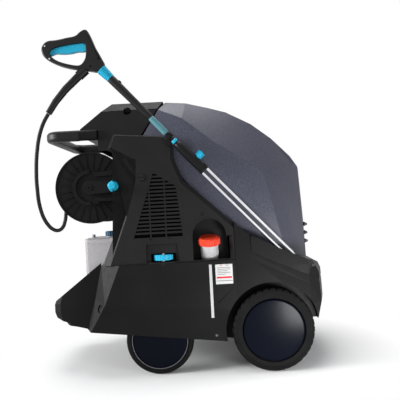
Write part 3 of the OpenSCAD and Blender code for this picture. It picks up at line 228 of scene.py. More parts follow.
def bump(tree, shader, height, distance, strength):
    node = add(tree, "ShaderNodeBump", Strength=strength, Distance=distance)
    wire(tree, height, node, "Height")
    wire(tree, node.outputs["Normal"], shader, "Normal")


def setShader(shader, **values):
    for key, value in values.items():
        shader.inputs[key.replace("_", " ")].default_value = value


plasticSetup = {
    "clouds": {"scale": 7.0, "detail": 4.0, "roughness": 0.55},    # slow change of tone
    "cloudSpan": (0.3, 0.7),
    "sheen": {"scale": 60.0, "detail": 3.0, "roughness": 0.5},     # uneven gloss
    "grain": {"detail": 2.0, "roughness": 0.6},
    "ior": 1.46,
}
# grain of a moulded surface: scale, depth in metres, strength, and how far the roughness varies
grains = {
    "leather": (900.0, 0.00012, 0.35, 0.08),
    "frame": (700.0, 0.00010, 0.35, 0.08),
    "fine": (1400.0, 0.00006, 0.35, 0.08),
    "satin": (1600.0, 0.00004, 0.20, 0.05),
    "disc": (2500.0, 0.00002, 0.10, 0.03),
    "discEdge": (1500.0, 0.00002, 0.10, 0.20),
    "card": (1500.0, 0.00002, 0.10, 0.04),
    "lens": (1500.0, 0.00002, 0.05, 0.03),
}


def mouldedPlastic(name, dark, light, rough, gloss=0.5, grain="leather"):
    mat, tree, shader = newMaterial(name)
    scale, depth, strength, spread = grains[grain]
    coords = objectCoords(tree)
    clouds = noise(tree, coords, **plasticSetup["clouds"])
    wire(tree, ramp(tree, clouds, dark, light, plasticSetup["cloudSpan"]), shader, "Base Color")
    sheen = noise(tree, coords, **plasticSetup["sheen"])
    wire(tree, mapRange(tree, sheen, rough - spread, rough + spread), shader, "Roughness")
    bump(tree, shader, noise(tree, coords, scale, **plasticSetup["grain"]), depth, strength)
    setShader(shader, IOR=plasticSetup["ior"], Specular_IOR_Level=gloss)
    return mat


speckleSetup = {
    "dots": {"scale": 330.0, "detail": 2.0, "roughness": 0.7},
    "dotSpan": (0.36, 0.66),
    "clouds": {"scale": 5.0, "detail": 3.0, "roughness": 0.5},
    "cloudSpan": (0.3, 0.7),
    "cloudTones": ((0.9, 0.9, 0.9), (1.0, 1.0, 1.0)),
    "spread": 0.1,
    "depth": 0.0005,
    "strength": 0.55,
    "ior": 1.46,
    "gloss": 0.4,
}


# moulded plastic with a grain that shows as light and dark dots
def speckledPlastic(name, dark, light, rough):
    mat, tree, shader = newMaterial(name)
    coords = objectCoords(tree)
    dots = noise(tree, coords, **speckleSetup["dots"])
    clouds = noise(tree, coords, **speckleSetup["clouds"])
    mix = add(tree, "ShaderNodeMixRGB", blend_type="MULTIPLY", Fac=1.0)
    wire(tree, ramp(tree, dots, dark, light, speckleSetup["dotSpan"]), mix, "Color1")
    wire(tree, ramp(tree, clouds, *speckleSetup["cloudTones"], speckleSetup["cloudSpan"]), mix, "Color2")
    wire(tree, mix.outputs["Color"], shader, "Base Color")
    spread = speckleSetup["spread"]
    wire(tree, mapRange(tree, dots, rough - spread, rough + spread), shader, "Roughness")
    bump(tree, shader, dots, speckleSetup["depth"], speckleSetup["strength"])
    setShader(shader, IOR=speckleSetup["ior"], Specular_IOR_Level=speckleSetup["gloss"])
    return mat


brushedSetup = {
    "lines": {"scale": 60.0, "detail": 4.0, "roughness": 0.7},
    "lineSpan": (0.3, 0.7),
    "smoother": 0.06,
    "rougher": 0.1,
    "depth": 0.00008,
    "strength": 0.2,
}


def brushedMetal(name, dark, light, rough, stretch=(1, 1, 40)):
    mat, tree, shader = newMaterial(name)
    mapping = add(tree, "ShaderNodeMapping", Scale=stretch)
    wire(tree, objectCoords(tree), mapping, "Vector")
    lines = noise(tree, mapping.outputs["Vector"], **brushedSetup["lines"])
    wire(tree, ramp(tree, lines, dark, light, brushedSetup["lineSpan"]), shader, "Base Color")
    roughness = mapRange(tree, lines, rough - brushedSetup["smoother"], rough + brushedSetup["rougher"])
    wire(tree, roughness, shader, "Roughness")
    bump(tree, shader, lines, brushedSetup["depth"], brushedSetup["strength"])
    setShader(shader, Metallic=1.0)
    return mat


polishedSetup = {
    "smudges": {"scale": 35.0, "detail": 4.0, "roughness": 0.6},
    "smudgeSpan": (0.35, 0.65),
    "shade": 0.9,
    "smoother": 0.7,
    "rougher": 1.6,
}


def polishedMetal(name, colour, rough):
    mat, tree, shader = newMaterial(name)
    smudges = noise(tree, objectCoords(tree), **polishedSetup["smudges"])
    shaded = [c * polishedSetup["shade"] for c in colour]
    wire(tree, ramp(tree, smudges, shaded, colour, polishedSetup["smudgeSpan"]), shader, "Base Color")
    roughness = mapRange(tree, smudges, rough * polishedSetup["smoother"], rough * polishedSetup["rougher"])
    wire(tree, roughness, shader, "Roughness")
    setShader(shader, Metallic=1.0)
    return mat


rubberSetup = {
    "dust": {"scale": 22.0, "detail": 5.0, "roughness": 0.62},
    "dustSpan": (0.35, 0.75),
    "smoother": 0.06,
    "rougher": 0.08,
    "grain": {"scale": 700.0, "detail": 2.0, "roughness": 0.5},
    "depth": 0.0001,
    "strength": 0.3,
}


def rubber(name, dark, light, rough, gloss):
    mat, tree, shader = newMaterial(name)
    coords = objectCoords(tree)
    dust = noise(tree, coords, **rubberSetup["dust"])
    wire(tree, ramp(tree, dust, dark, light, rubberSetup["dustSpan"]), shader, "Base Color")
    roughness = mapRange(tree, dust, rough - rubberSetup["smoother"], rough + rubberSetup["rougher"])
    wire(tree, roughness, shader, "Roughness")
    grain = noise(tree, coords, **rubberSetup["grain"])
    bump(tree, shader, grain, rubberSetup["depth"], rubberSetup["strength"])
    setShader(shader, Specular_IOR_Level=gloss)
    return mat


milkySetup = {
    "clouds": {"scale": 14.0, "detail": 3.0, "roughness": 0.5},
    "cloudSpan": (0.3, 0.7),
    "shade": 0.93,
    "roughness": (0.34, 0.46),
    "grain": {"scale": 300.0, "detail": 2.0, "roughness": 0.5},
    "depth": 0.0001,
    "strength": 0.15,
    "glow": 0.25,
    "glowRadius": (0.02, 0.02, 0.02),
    "glowScale": 0.4,
}


# plastic that lets a little light in
def milkyPlastic(name, colour):
    mat, tree, shader = newMaterial(name)
    coords = objectCoords(tree)
    clouds = noise(tree, coords, **milkySetup["clouds"])
    shaded = [c * milkySetup["shade"] for c in colour]
    wire(tree, ramp(tree, clouds, shaded, colour, milkySetup["cloudSpan"]), shader, "Base Color")
    wire(tree, mapRange(tree, clouds, *milkySetup["roughness"]), shader, "Roughness")
    grain = noise(tree, coords, **milkySetup["grain"])
    bump(tree, shader, grain, milkySetup["depth"], milkySetup["strength"])
    setShader(shader, Subsurface_Weight=milkySetup["glow"], Subsurface_Radius=milkySetup["glowRadius"],
              Subsurface_Scale=milkySetup["glowScale"])
    return mat


# each finish: name, darker tone, lighter tone, roughness, then gloss and grain, or how far brush lines
# are drawn out
caseBlack = mouldedPlastic("case black", (0.0062, 0.0059, 0.0061), (0.0092, 0.0088, 0.0090), 0.50, 0.12)
panelBlack = mouldedPlastic("panel black", (0.0100, 0.0096, 0.0099), (0.0145, 0.0140, 0.0144), 0.48, 0.16)
trimBlack = mouldedPlastic("trim black", (0.0042, 0.0042, 0.0046), (0.0065, 0.0065, 0.0070), 0.36, 0.18,
                           "fine")
frameBlack = mouldedPlastic("frame black", (0.009, 0.009, 0.0098), (0.014, 0.014, 0.0148), 0.38, 0.20,
                            "frame")
discNavy = mouldedPlastic("wheel disc navy", (0.0016, 0.0026, 0.0062), (0.0022, 0.0034, 0.0080), 0.22, 0.07,
                          "disc")
discEdge = mouldedPlastic("disc edge grey", (0.110, 0.115, 0.135), (0.140, 0.145, 0.165), 0.35,
                          grain="discEdge")
cyan = mouldedPlastic("cyan plastic", (0.016, 0.47, 0.72), (0.026, 0.52, 0.77), 0.36, 0.35, "satin")
insertTeal = mouldedPlastic("insert teal", (0.100, 0.27, 0.31), (0.125, 0.31, 0.35), 0.40, 0.30, "satin")
redCap = mouldedPlastic("red cap", (0.84, 0.055, 0.022), (0.92, 0.075, 0.032), 0.34, 0.35, "satin")
tealCap = mouldedPlastic("teal cap", (0.03, 0.10, 0.18), (0.04, 0.13, 0.22), 0.42, 0.35, "satin")
greyCase = mouldedPlastic("grey case", (0.16, 0.17, 0.18), (0.20, 0.21, 0.22), 0.50, 0.30)
cardWhite = mouldedPlastic("card white", (0.60, 0.60, 0.60), (0.64, 0.64, 0.64), 0.40, grain="card")
cardRed = mouldedPlastic("card red", (0.55, 0.010, 0.02), (0.62, 0.015, 0.03), 0.40, grain="card")
cardGrey = mouldedPlastic("card grey", (0.12, 0.12, 0.13), (0.16, 0.16, 0.17), 0.40, grain="card")
lampGreen = mouldedPlastic("lamp green", (0.02, 0.30, 0.05), (0.03, 0.38, 0.07), 0.15, grain="lens")
lampAmber = mouldedPlastic("lamp amber", (0.65, 0.25, 0.010), (0.75, 0.31, 0.015), 0.15, grain="lens")
lampRed = mouldedPlastic("lamp red", (0.50, 0.010, 0.010), (0.60, 0.015, 0.015), 0.15, grain="lens")
hoodNavy = speckledPlastic("hood navy", (0.036, 0.039, 0.062), (0.098, 0.101, 0.140), 0.46)
# near-black finish of the sheet behind the louvres: painted shade, not a material of the machine
shadeSheetBlack = rubber("shade sheet black", (0.0025, 0.0025, 0.0026), (0.0040, 0.0040, 0.0042), 0.80, 0.04)
tyreBlack = rubber("tyre rubber", (0.0045, 0.0045, 0.0046), (0.0085, 0.0085, 0.0086), 0.70, 0.08)
hoseBlack = rubber("hose rubber", (0.0048, 0.0048, 0.0052), (0.0078, 0.0078, 0.0083), 0.45, 0.22)
gripBlack = rubber("grip rubber", (0.0062, 0.0060, 0.0062), (0.0098, 0.0095, 0.0098), 0.42, 0.22)
steel = brushedMetal("steel", (0.52, 0.53, 0.55), (0.66, 0.67, 0.69), 0.30)
boilerSteel = brushedMetal("boiler steel", (0.50, 0.50, 0.51), (0.68, 0.68, 0.69), 0.34, (40, 40, 1))
castAlu = brushedMetal("cast aluminium", (0.50, 0.51, 0.53), (0.60, 0.61, 0.63), 0.50, (1, 1, 1))
brass = brushedMetal("brass", (0.58, 0.42, 0.17), (0.72, 0.55, 0.26), 0.32, (1, 1, 1))
chrome = polishedMetal("chrome", (0.74, 0.75, 0.77), 0.12)
milky = milkyPlastic("milky plastic", (0.70, 0.68, 0.70))
whitePlastic = milkyPlastic("white plastic", (0.58, 0.58, 0.59))

finishOf = {
    "black_plastic": caseBlack, "dark_plastic": trimBlack, "navy_hood": hoodNavy, "navy_disc": discNavy,
    "blue_plastic": cyan, "tyre_rubber": tyreBlack, "hose_rubber": hoseBlack, "grip_rubber": gripBlack,
    "steel": steel, "frame_steel": frameBlack, "boiler_steel": boilerSteel, "motor_alu": castAlu,
    "brass": brass, "white_plastic": whitePlastic, "red_plastic": redCap, "teal_cap": tealCap,
    "grey_plastic": greyCase,
}
# nodes whose finish isn't that of their slot
nodeFinish = {
    "side_panel_right": panelBlack, "side_panel_left": panelBlack, "console": panelBlack,
    # the steel hinge rod takes the dark trim finish as painted shade, so that its end shows dark where steel
    # would reflect the white background
    "storage_lid": panelBlack, "detergent_jug": milky, "gun_shells": gripBlack, "hood_hinge_rod": trimBlack,
}


def finishNodes():
    slotOf = {part["node"]: part["material_slot"] for part in frame["record"]["subparts"]}
    for nodeName, piece in nodes.items():
        mat = nodeFinish.get(nodeName, finishOf[slotOf[nodeName]])
        if len(piece.material_slots) == 0:
            piece.data.materials.append(mat)
        for slot in piece.material_slots:
            slot.material = mat


finishNodes()
print("stage: finishes on the nodes")

seamDistance = 2e-6
edgeSegments = 2
# how edges are rounded: the least angle of an edge, the largest angle between faces that are joined
# up first, and how the faces weigh in the shading
edgeStyles = {
    "crisp": {"angle": 28.0, "join": 1.0, "mode": "FACE_AREA", "weight": 80, "keepSharp": True},
    "soft": {"angle": 20.0, "join": 4.0, "mode": "CORNER_ANGLE", "weight": 50, "keepSharp": False},
}
edgeWidths = {
    "hood": ("soft", 0.0035),
    "lower_body": ("crisp", 0.003),
    "front_bumper": ("crisp", 0.004),
    "console": ("crisp", 0.003),
    "storage_lid": ("crisp", 0.003),
    "rear_tray": ("crisp", 0.003),
    "trigger": ("crisp", 0.002),
    "lance_knob": ("crisp", 0.001),
    "reel_bracket_right": ("crisp", 0.0015),
    "reel_bracket_left": ("crisp", 0.0015),
    "crank_arm": ("crisp", 0.0012),
}


# rounded edges on a CAD node, by modifiers that leave its mesh alone
def roundEdges(nodeName, styleName, width):
    piece, style = nodes[nodeName], edgeStyles[styleName]
    weld = piece.modifiers.new("weld", "WELD")
    weld.merge_threshold = seamDistance
    flat = piece.modifiers.new("flat", "DECIMATE")
    flat.decimate_type = "DISSOLVE"
    flat.angle_limit = math.radians(style["join"])
    bevel = piece.modifiers.new("bevel", "BEVEL")
    bevel.limit_method = "ANGLE"
    bevel.angle_limit = math.radians(style["angle"])
    bevel.width = width
    bevel.segments = edgeSegments
    bevel.use_clamp_overlap = True
    bevel.miter_outer = "MITER_ARC"
    normals = piece.modifiers.new("normals", "WEIGHTED_NORMAL")
    normals.keep_sharp = style["keepSharp"]
    normals.mode = style["mode"]
    normals.weight = style["weight"]


for nodeName, (styleName, width) in edgeWidths.items():
    roundEdges(nodeName, styleName, width)
print("stage: rounded edges")

# reel: the bed of its drum, the lanes of the hose across it and the turns wound on it
reelSetup = {
    "axisX": -0.358,
    "axisZ": 0.703,
    "bedRadius": 0.086,
    "play": 0.0004,
    "firstLane": -0.225,
    "lanePitch": 0.274 / 17,
    "turns": 16,
    "stepsPerTurn": 48,
    "inset": 0.0001,       # keeps the wound hose clear of its neighbours
    "sectionSteps": 4,
}
hoseSetup = {
    "diameter": 0.014,
    "sectionSteps": 6,
    "curveSteps": 8,       # between two points
    "laneEnd": 165,        # degrees round the drum
    "laneStep": 15,
    "longer": 1.003,       # its length against that of the straight steps
    "route": [(-486.9, -305, 981.7), (-506, -305, 950), (-518, -305, 922), (-529, -304, 886),
              (-536, -303, 849), (-541, -302, 813), (-544, -300, 776), (-546, -297, 739), (-546, -293, 703),
              (-545, -289, 666), (-541, -283, 632), (-534, -274, 600), (-522, -263, 572), (-508, -250, 554),
              (-493, -238, 548), (-479, -228, 556), (-469, -221, 580), (-464, -219, 610), (-460, -220, 645),
              (-457.2, -223, 675), (-453.4, -225, 692)],    # millimetres
}


# a point of the wound hose, at an angle that climbs over the drum from its rear side
def onDrum(degrees, y):
    turn = math.radians(degrees)
    clear = math.cos(math.radians(hoseSetup["laneStep"] / 2))    # keeps the middle of a step off the bed
    radius = (reelSetup["bedRadius"] + hoseSetup["diameter"] / 2 + reelSetup["play"]) / clear
    x = reelSetup["axisX"] - radius * math.cos(turn)
    return Vector((x, y, reelSetup["axisZ"] + radius * math.sin(turn)))


def makeHose():
    laneTurns = range(0, hoseSetup["laneEnd"] + 1, hoseSetup["laneStep"])
    points = [Vector(p) / 1000 for p in hoseSetup["route"]]
    points += [onDrum(turn, reelSetup["firstLane"]) for turn in laneTurns]
    curve = roundCurve("free_hose", hoseSetup["diameter"] / 2, hoseSetup["sectionSteps"])
    curve.resolution_u = hoseSetup["curveSteps"]
    line = curve.splines.new("BEZIER")
    line.bezier_points.add(len(points) - 1)
    for place, point in zip(line.bezier_points, points):
        place.co = point
        place.handle_left_type = place.handle_right_type = "AUTO"
    piece = link(curve, "free_hose")
    dress(piece, hoseBlack, "machine", "hose")


def makeCoil():
    points = []
    for step in range(reelSetup["turns"] * reelSetup["stepsPerTurn"] + 1):
        done = step / reelSetup["stepsPerTurn"]
        y = reelSetup["firstLane"] + reelSetup["lanePitch"] * (1 + done)
        points.append(onDrum(180 + 360 * done, y))
    radius = hoseSetup["diameter"] / 2 - reelSetup["inset"]
    piece = tubeAlong("wound_hose", points, radius, reelSetup["sectionSteps"])
    dress(piece, hoseBlack, "reel", "hose_coil")


makeHose()
makeCoil()
print("stage: hose and reel")

# lance: a ribbed coupling collar, a rubber grip, a coloured insert, the valve block and two tubes;
# profiles are (along, radius) pairs
lanceSetup = {
    "start": (-0.283, -0.305, 1.134),    # where its axis leaves the gun
    "tilt": 47.5,                        # degrees below level
    "grip": [(0.048, 0.0150), (0.052, 0.0156), (0.062, 0.0158), (0.110, 0.0150), (0.160, 0.0140),
             (0.235, 0.0130), (0.250, 0.0130), (0.2535, 0.0118)],
    "insert": [(0.253, 0.0102), (0.2555, 0.0112), (0.262, 0.0116), (0.300, 0.0120), (0.330, 0.0120),
               (0.335, 0.0106), (0.337, 0.0082)],
    "neck": [(0.336, 0.0080), (0.389, 0.0080)],
    "sleeve": [(0.371, 0.0082), (0.3715, 0.0112), (0.373, 0.0122), (0.381, 0.0122), (0.3825, 0.0112),
               (0.383, 0.0084)],
    "valve": [(0.388, 0.0120), (0.390, 0.0135), (0.404, 0.0160), (0.414, 0.0172), (0.450, 0.0180),
              (0.480, 0.0178), (0.508, 0.0170), (0.528, 0.0154), (0.532, 0.0140)],
    "button": [(0, 0.0070), (0.0072, 0.0066), (0.0086, 0.0054), (0.009, 0.003)],
    "buttonPlace": (0.080, 0, 0.010),
    "buttonSides": 32,
    "manifold": {"centre": (0.523, 0.0, 0.001), "size": (0.022, 0.016, 0.038), "bevel": 0.0025,
                 "segments": 3},
}
collarSetup = {
    "from": 0.001, "to": 0.048,
    "wide": 0.0200, "slim": 0.0166,      # radius at its two ends
    "edge": 0.001,
    "lip": 0.0012,
    "plain": 0.005,                      # stretch before the first groove
    "grooveFrom": 0.006,
    "endRoom": 0.008,                    # what the grooves leave free in all
    "grooves": 6,
    "groove": [(0.0, 0.0), (0.22, 0.0017), (0.38, 0.0017), (0.6, 0.0)],    # share of the pitch, depth
}
tubeSetup = {
    "radius": 0.0058,
    "sectionSteps": 6,
    "from": 0.528,
    "bendReach": 0.012,
    "bendSteps": 3,
    "tipWall": 0.0013,
    "tipEdge": 0.001,
    "tipBore": 0.003,
    "tipDepth": 0.006,
    "tipSides": 32,
    # distance from the axis of the lance, where the tube bends, its tip from there on, degrees of the bend
    "tubes": [(-0.0105, 0.974, (0.014, 0.026), 3.0), (0.0125, 0.972, (0.050, 0.062), 9.0)],
}


def collarProfile():
    start, end = collarSetup["from"], collarSetup["to"]
    wide, slim = collarSetup["wide"], collarSetup["slim"]
    edge = collarSetup["edge"]

    def radiusAt(along):
        return wide + (slim - wide) * (along - start) / (end - start)

    plainEnd = start + collarSetup["plain"]
    profile = [(start, wide - collarSetup["lip"]), (start + edge, wide), (plainEnd, radiusAt(plainEnd))]
    pitch = (end - start - collarSetup["endRoom"]) / collarSetup["grooves"]
    for groove in range(collarSetup["grooves"]):
        low = start + collarSetup["grooveFrom"] + groove * pitch
        for share, depth in collarSetup["groove"]:
            profile.append((low + share * pitch, radiusAt(low + share * pitch) - depth))
    return profile + [(end - edge, slim), (end, slim - edge)]


def makeLanceTube(number, place, offset, bend, tipSpan, turn):
    radius, reach = tubeSetup["radius"], tubeSetup["bendReach"]
    tipFrom, tipTo = tipSpan
    boreEnd = tipTo - tubeSetup["tipDepth"]
    away = turnBy(turn, "Y")
    corner = Vector((bend, 0, offset))
    points = [Vector((tubeSetup["from"], 0, offset)), corner - Vector((reach, 0, 0))]
    steps = tubeSetup["bendSteps"]
    for step in range(1, steps + 1):
        along = reach * (2 * step / (steps + 1) - 1)
        points.append(corner + turnBy(turn * step / steps, "Y") @ Vector((along, 0, 0)))
    points.append(corner + away @ Vector((boreEnd, 0, 0)))
    points = [place @ p for p in points]
    piece = tubeAlong("lance_tube_%d" % number, points, radius, tubeSetup["sectionSteps"])
    dress(piece, chrome, "machine")
    outer, edge, bore = radius + tubeSetup["tipWall"], tubeSetup["tipEdge"], tubeSetup["tipBore"]
    tip = [(tipFrom, radius), (tipFrom + edge, outer), (tipTo - edge, outer), (tipTo, radius), (tipTo, bore),
           (boreEnd, bore)]
    tipPlace = place @ Matrix.Translation(corner) @ away
    dress(turned("lance_tip_%d" % number, closed(tip), tipPlace, tubeSetup["tipSides"]),
          steel, "machine")


def makeLance():
    place = Matrix.Translation(lanceSetup["start"]) @ turnBy(lanceSetup["tilt"], "Y")
    turnedPieces = [
        # name, profile, sides, finish, slot, node that it stands for
        ("lance_collar", collarProfile(), 64, cyan, "blue_plastic", None),
        ("lance_grip", lanceSetup["grip"], 48, gripBlack, "grip_rubber", "lance"),
        ("lance_insert", lanceSetup["insert"], 48, insertTeal, "blue_plastic", None),
        ("lance_neck", lanceSetup["neck"], 32, gripBlack, "grip_rubber", None),
        ("lance_sleeve", lanceSetup["sleeve"], 40, cyan, "blue_plastic", None),
        ("lance_valve", lanceSetup["valve"], 48, trimBlack, "dark_plastic", None),
    ]
    for name, profile, sides, mat, slotName, nodeName in turnedPieces:
        dress(turned(name, closed(profile), place, sides), mat, "machine", nodeName)
    manifold = lanceSetup["manifold"]
    dress(block("lance_manifold", place=place, **manifold), trimBlack, "machine")
    buttonPlace = place @ Matrix.Translation(lanceSetup["buttonPlace"]) @ turnBy(-90, "Y")
    dress(turned("lance_button", closed(lanceSetup["button"]), buttonPlace, lanceSetup["buttonSides"]),
          trimBlack, "machine")
    for number, tube in enumerate(tubeSetup["tubes"], 1):
        makeLanceTube(number, place, *tube)


makeLance()
print("stage: lance")

# screws of the gun, on its outer face; shapes are shares of the radius
screwSetup = {
    "face": -0.3225,
    "bright": [(-0.483, 1.226), (-0.468, 1.179)],
    "dark": [(-0.290, 1.170), (-0.320, 1.144)],
    "radius": 0.0036,
    "sides": 24,
    "taper": 0.84,
    "height": 0.6,
    "rim": 0.42,
    "socket": 0.35,
}


# round head with a socket, its top towards -Y
def makeScrew(name, place, mat):
    radius = screwSetup["radius"]
    bm = bmesh.new()
    bmesh.ops.create_cone(bm, cap_ends=True, segments=screwSetup["sides"], radius1=radius,
                          radius2=radius * screwSetup["taper"], depth=radius * screwSetup["height"])
    top = [f for f in bm.faces if f.normal.z > 0.9]
    bmesh.ops.inset_region(bm, faces=top, thickness=radius * screwSetup["rim"], depth=0.0)
    sunk = bmesh.ops.extrude_discrete_faces(bm, faces=top)["faces"]
    bmesh.ops.translate(bm, vec=(0, 0, -radius * screwSetup["socket"]),
                        verts=list({v for f in sunk for v in f.verts}))
    bmesh.ops.transform(bm, matrix=Matrix.Translation(place) @ turnBy(90, "X"), verts=bm.verts)
    dress(fromBmesh(bm, name), mat, "machine")


for kind, mat, slotName in (("bright", steel, "steel"), ("dark", trimBlack, "dark_plastic")):
    for number, (x, z) in enumerate(screwSetup[kind], 1):
        makeScrew("gun_screw_%s_%d" % (kind, number), (x, screwSetup["face"], z), mat)

# blank ruled card on the body, which leans back with it
cardSetup = {
    "left": 0.0975, "right": 0.1600, "bottom": 0.326, "top": 0.397,
    "face": (-0.3350, 0.410), "lean": math.atan2(0.010, 0.1744),
    "thick": 0.0006,
    "gap": 0.0003,
    "edge": 0.00015,
    "inkThick": 0.0002,
    "inkEdge": 0.00004,
    "lineHeight": 0.0019,
    # how far below the top, from and to as shares of the width, colour
    "lines": [(0.004, 0.26, 0.40, "red"), (0.004, 0.60, 0.80, "grey"), (0.012, 0.12, 0.88, "grey"),
              (0.018, 0.12, 0.88, "grey"), (0.024, 0.12, 0.70, "grey"), (0.030, 0.12, 0.88, "grey"),
              (0.036, 0.12, 0.60, "grey")],
    "band": (0.0475, 0.06, 0.94, "red"), "bandHeight": 0.0062,
    "rule": (0.0595, 0.03, 0.97, "grey"), "ruleHeight": 0.0024,
}


def makeCard():
    y, z = cardSetup["face"]
    place = Matrix.Translation((0, y, z)) @ Matrix.Rotation(-cardSetup["lean"], 4, "X")
    wide = cardSetup["right"] - cardSetup["left"]
    middle = (cardSetup["left"] + cardSetup["right"]) / 2
    upTo = cardSetup["top"] - z
    tall = cardSetup["top"] - cardSetup["bottom"]
    thick = cardSetup["thick"]
    face = -thick - cardSetup["gap"]
    centre = (middle, face + thick / 2, upTo - tall / 2)
    dress(block("card", centre, (wide, thick, tall), place, cardSetup["edge"], 1),
          cardWhite, "machine")
    inks = {"red": (cardRed, "red_plastic"), "grey": (cardGrey, "grey_plastic")}

    def printLine(name, line, height):
        down, start, end, colour = line
        centre = (cardSetup["left"] + wide * (start + end) / 2, face - cardSetup["inkEdge"], upTo - down)
        size = (wide * (end - start), cardSetup["inkThick"], height)
        mat, slotName = inks[colour]
        dress(block(name, centre, size, place, cardSetup["inkEdge"], 1), mat, "machine")

    for number, line in enumerate(cardSetup["lines"], 1):
        printLine("card_line_%d" % number, line, cardSetup["lineHeight"])
    printLine("card_band", cardSetup["band"], cardSetup["bandHeight"])
    printLine("card_rule", cardSetup["rule"], cardSetup["ruleHeight"])


makeCard()

panelSetup = {"face": -0.325, "base": 0.410, "lean": math.atan2(0.040, 0.475)}


# frame of the right panel: x along the machine, y up its face, z outwards
def panelPlace(x, z):
    lean = panelSetup["lean"]
    up = (z - panelSetup["base"]) / math.cos(lean)
    foot = Matrix.Translation((0, panelSetup["face"], panelSetup["base"]))
    return foot @ Matrix.Rotation(math.radians(90) - lean, 4, "X") @ Matrix.Translation((x, up, 0))


# raised droplet over the filler: a disc whose upper half is drawn up to a point
dropletSetup = {
    "place": (0.0593, 0.5815),
    "radius": 0.0068,
    "sides": 40,
    "pinch": 0.98,
    "stretch": 1.9,
    "proud": 0.0006,
    "sunk": 0.0001,
}


def makeDroplet():
    radius = dropletSetup["radius"]
    bm = bmesh.new()
    bmesh.ops.create_circle(bm, cap_ends=True, segments=dropletSetup["sides"], radius=radius)
    for v in bm.verts:
        if v.co.y > 0:
            v.co.x *= 1 - (v.co.y / radius) ** 2 * dropletSetup["pinch"]
            v.co.y *= dropletSetup["stretch"]
    thicken(bm, bm.faces, dropletSetup["proud"])
    bmesh.ops.translate(bm, vec=(0, 0, -dropletSetup["sunk"]), verts=bm.verts)
    bmesh.ops.transform(bm, matrix=panelPlace(*dropletSetup["place"]), verts=bm.verts)
    dress(fromBmesh(bm, "fuel_droplet"), trimBlack, "machine")


makeDroplet()
print("stage: screws, card and droplet")

# dark sheet behind the louvres of each side panel: painted shade for the dark inside of the machine seen
# through them
shadeSheetSetup = {
    "corners": [(-0.208, 0.498), (-0.006, 0.498), (-0.026, 0.700), (-0.113, 0.756)],
    "behind": 0.012,
    "thick": 0.0012,
}


def makeShadeSheet(name, side):
    slope, base = math.cos(panelSetup["lean"]), panelSetup["base"]
    bm = bmesh.new()
    face = bm.faces.new([bm.verts.new((x, (z - base) / slope, -shadeSheetSetup["behind"]))
                         for x, z in shadeSheetSetup["corners"]])
    thicken(bm, [face], -shadeSheetSetup["thick"])
    bmesh.ops.transform(bm, matrix=Matrix.Diagonal((1, side, 1, 1)) @ panelPlace(0, base), verts=bm.verts)
    dress(fromBmesh(bm, name), shadeSheetBlack, "machine")


makeShadeSheet("shade_sheet_right", 1)
makeShadeSheet("shade_sheet_left", -1)

# thin light edge round the disc of each small wheel
ringSetup = {
    "inner": 0.1008, "outer": 0.1028,
    "edge": 0.0006,
    "proud": 0.0008,
    "shoulder": 0.6,    # share of what it stands proud
    "depth": 0.002,
    "sides": 96,
}


def makeRing(side, outward):
    low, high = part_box("rear_rim_" + side)
    face = low[1] if outward < 0 else high[1]
    centre = ((low[0] + high[0]) / 2, face, (low[2] + high[2]) / 2)
    place = Matrix.Translation(centre) @ turnBy(90 * outward, "Z")
    inner, outer, edge = ringSetup["inner"], ringSetup["outer"], ringSetup["edge"]
    proud, depth = ringSetup["proud"], ringSetup["depth"]
    shoulder = proud * ringSetup["shoulder"]
    profile = [(-depth, inner), (shoulder, inner), (proud, inner + edge), (proud, outer - edge),
               (shoulder, outer), (-depth, outer), (-depth, inner)]
    dress(turned("rear_ring_" + side, profile, place, ringSetup["sides"]),
          discEdge, "rear_wheel_" + side)


makeRing("right", -1)
makeRing("left", 1)

# filler neck: where its axis starts, how far it leans, its upright ribs and the lobes of its cap
neckSetup = {
    "foot": (0.080, -0.275, 0.415),
    "lean": 16.0,
    "radius": 0.0320,
    "ribs": 26,
    "ribFrom": 0.012, "ribTo": 0.049,
    "ribSize": (0.0016, 0.0012),
    "ribEdge": 0.0003,
}
capSetup = {"lobes": 16, "ring": 0.0384, "radius": 0.0030, "sides": 16, "middle": 0.0700, "tall": 0.0190}


def neckPlace():
    return Matrix.Translation(neckSetup["foot"]) @ turnBy(neckSetup["lean"], "X")


def makeNeckRibs():
    low, high, ribs = neckSetup["ribFrom"], neckSetup["ribTo"], neckSetup["ribs"]
    bm = bmesh.new()
    addBlock(bm, (neckSetup["radius"], 0, (low + high) / 2), (*neckSetup["ribSize"], high - low),
             neckSetup["ribEdge"], edgeSegments)
    bmesh.ops.spin(bm, geom=bm.verts[:] + bm.edges[:] + bm.faces[:], cent=(0, 0, 0), axis=(0, 0, 1),
                   angle=2 * math.pi * (ribs - 1) / ribs, steps=ribs - 1, use_duplicate=True)
    bmesh.ops.transform(bm, matrix=neckPlace(), verts=bm.verts)
    dress(fromBmesh(bm, "neck_ribs"), whitePlastic, "machine")


def makeCapLobes():
    ring, radius, lobes = capSetup["ring"], capSetup["radius"], capSetup["lobes"]
    bm = bmesh.new()
    for lobe in range(lobes):
        turn = 2 * math.pi * (lobe + 0.5) / lobes
        spot = Matrix.Translation((ring * math.cos(turn), ring * math.sin(turn), capSetup["middle"]))
        bmesh.ops.create_cone(bm, cap_ends=True, segments=capSetup["sides"], radius1=radius, radius2=radius,
                              depth=capSetup["tall"], matrix=spot)
    bmesh.ops.transform(bm, matrix=neckPlace(), verts=bm.verts)
    dress(fromBmesh(bm, "cap_lobes"), redCap, "fuel_cap")


# lenses of the status lamps, in a row across the sloping control field
lampSetup = {
    "centre": (-0.336, 0.0, 0.979),
    "slope": 39.6,
    "row": -0.102,
    "pitch": 0.011,
    "sunk": 0.0015,
    "lens": [(-0.0012, 0.0029), (0.0002, 0.0029), (0.0010, 0.00232), (0.0015, 0.001305)],
    "sides": 24,
}


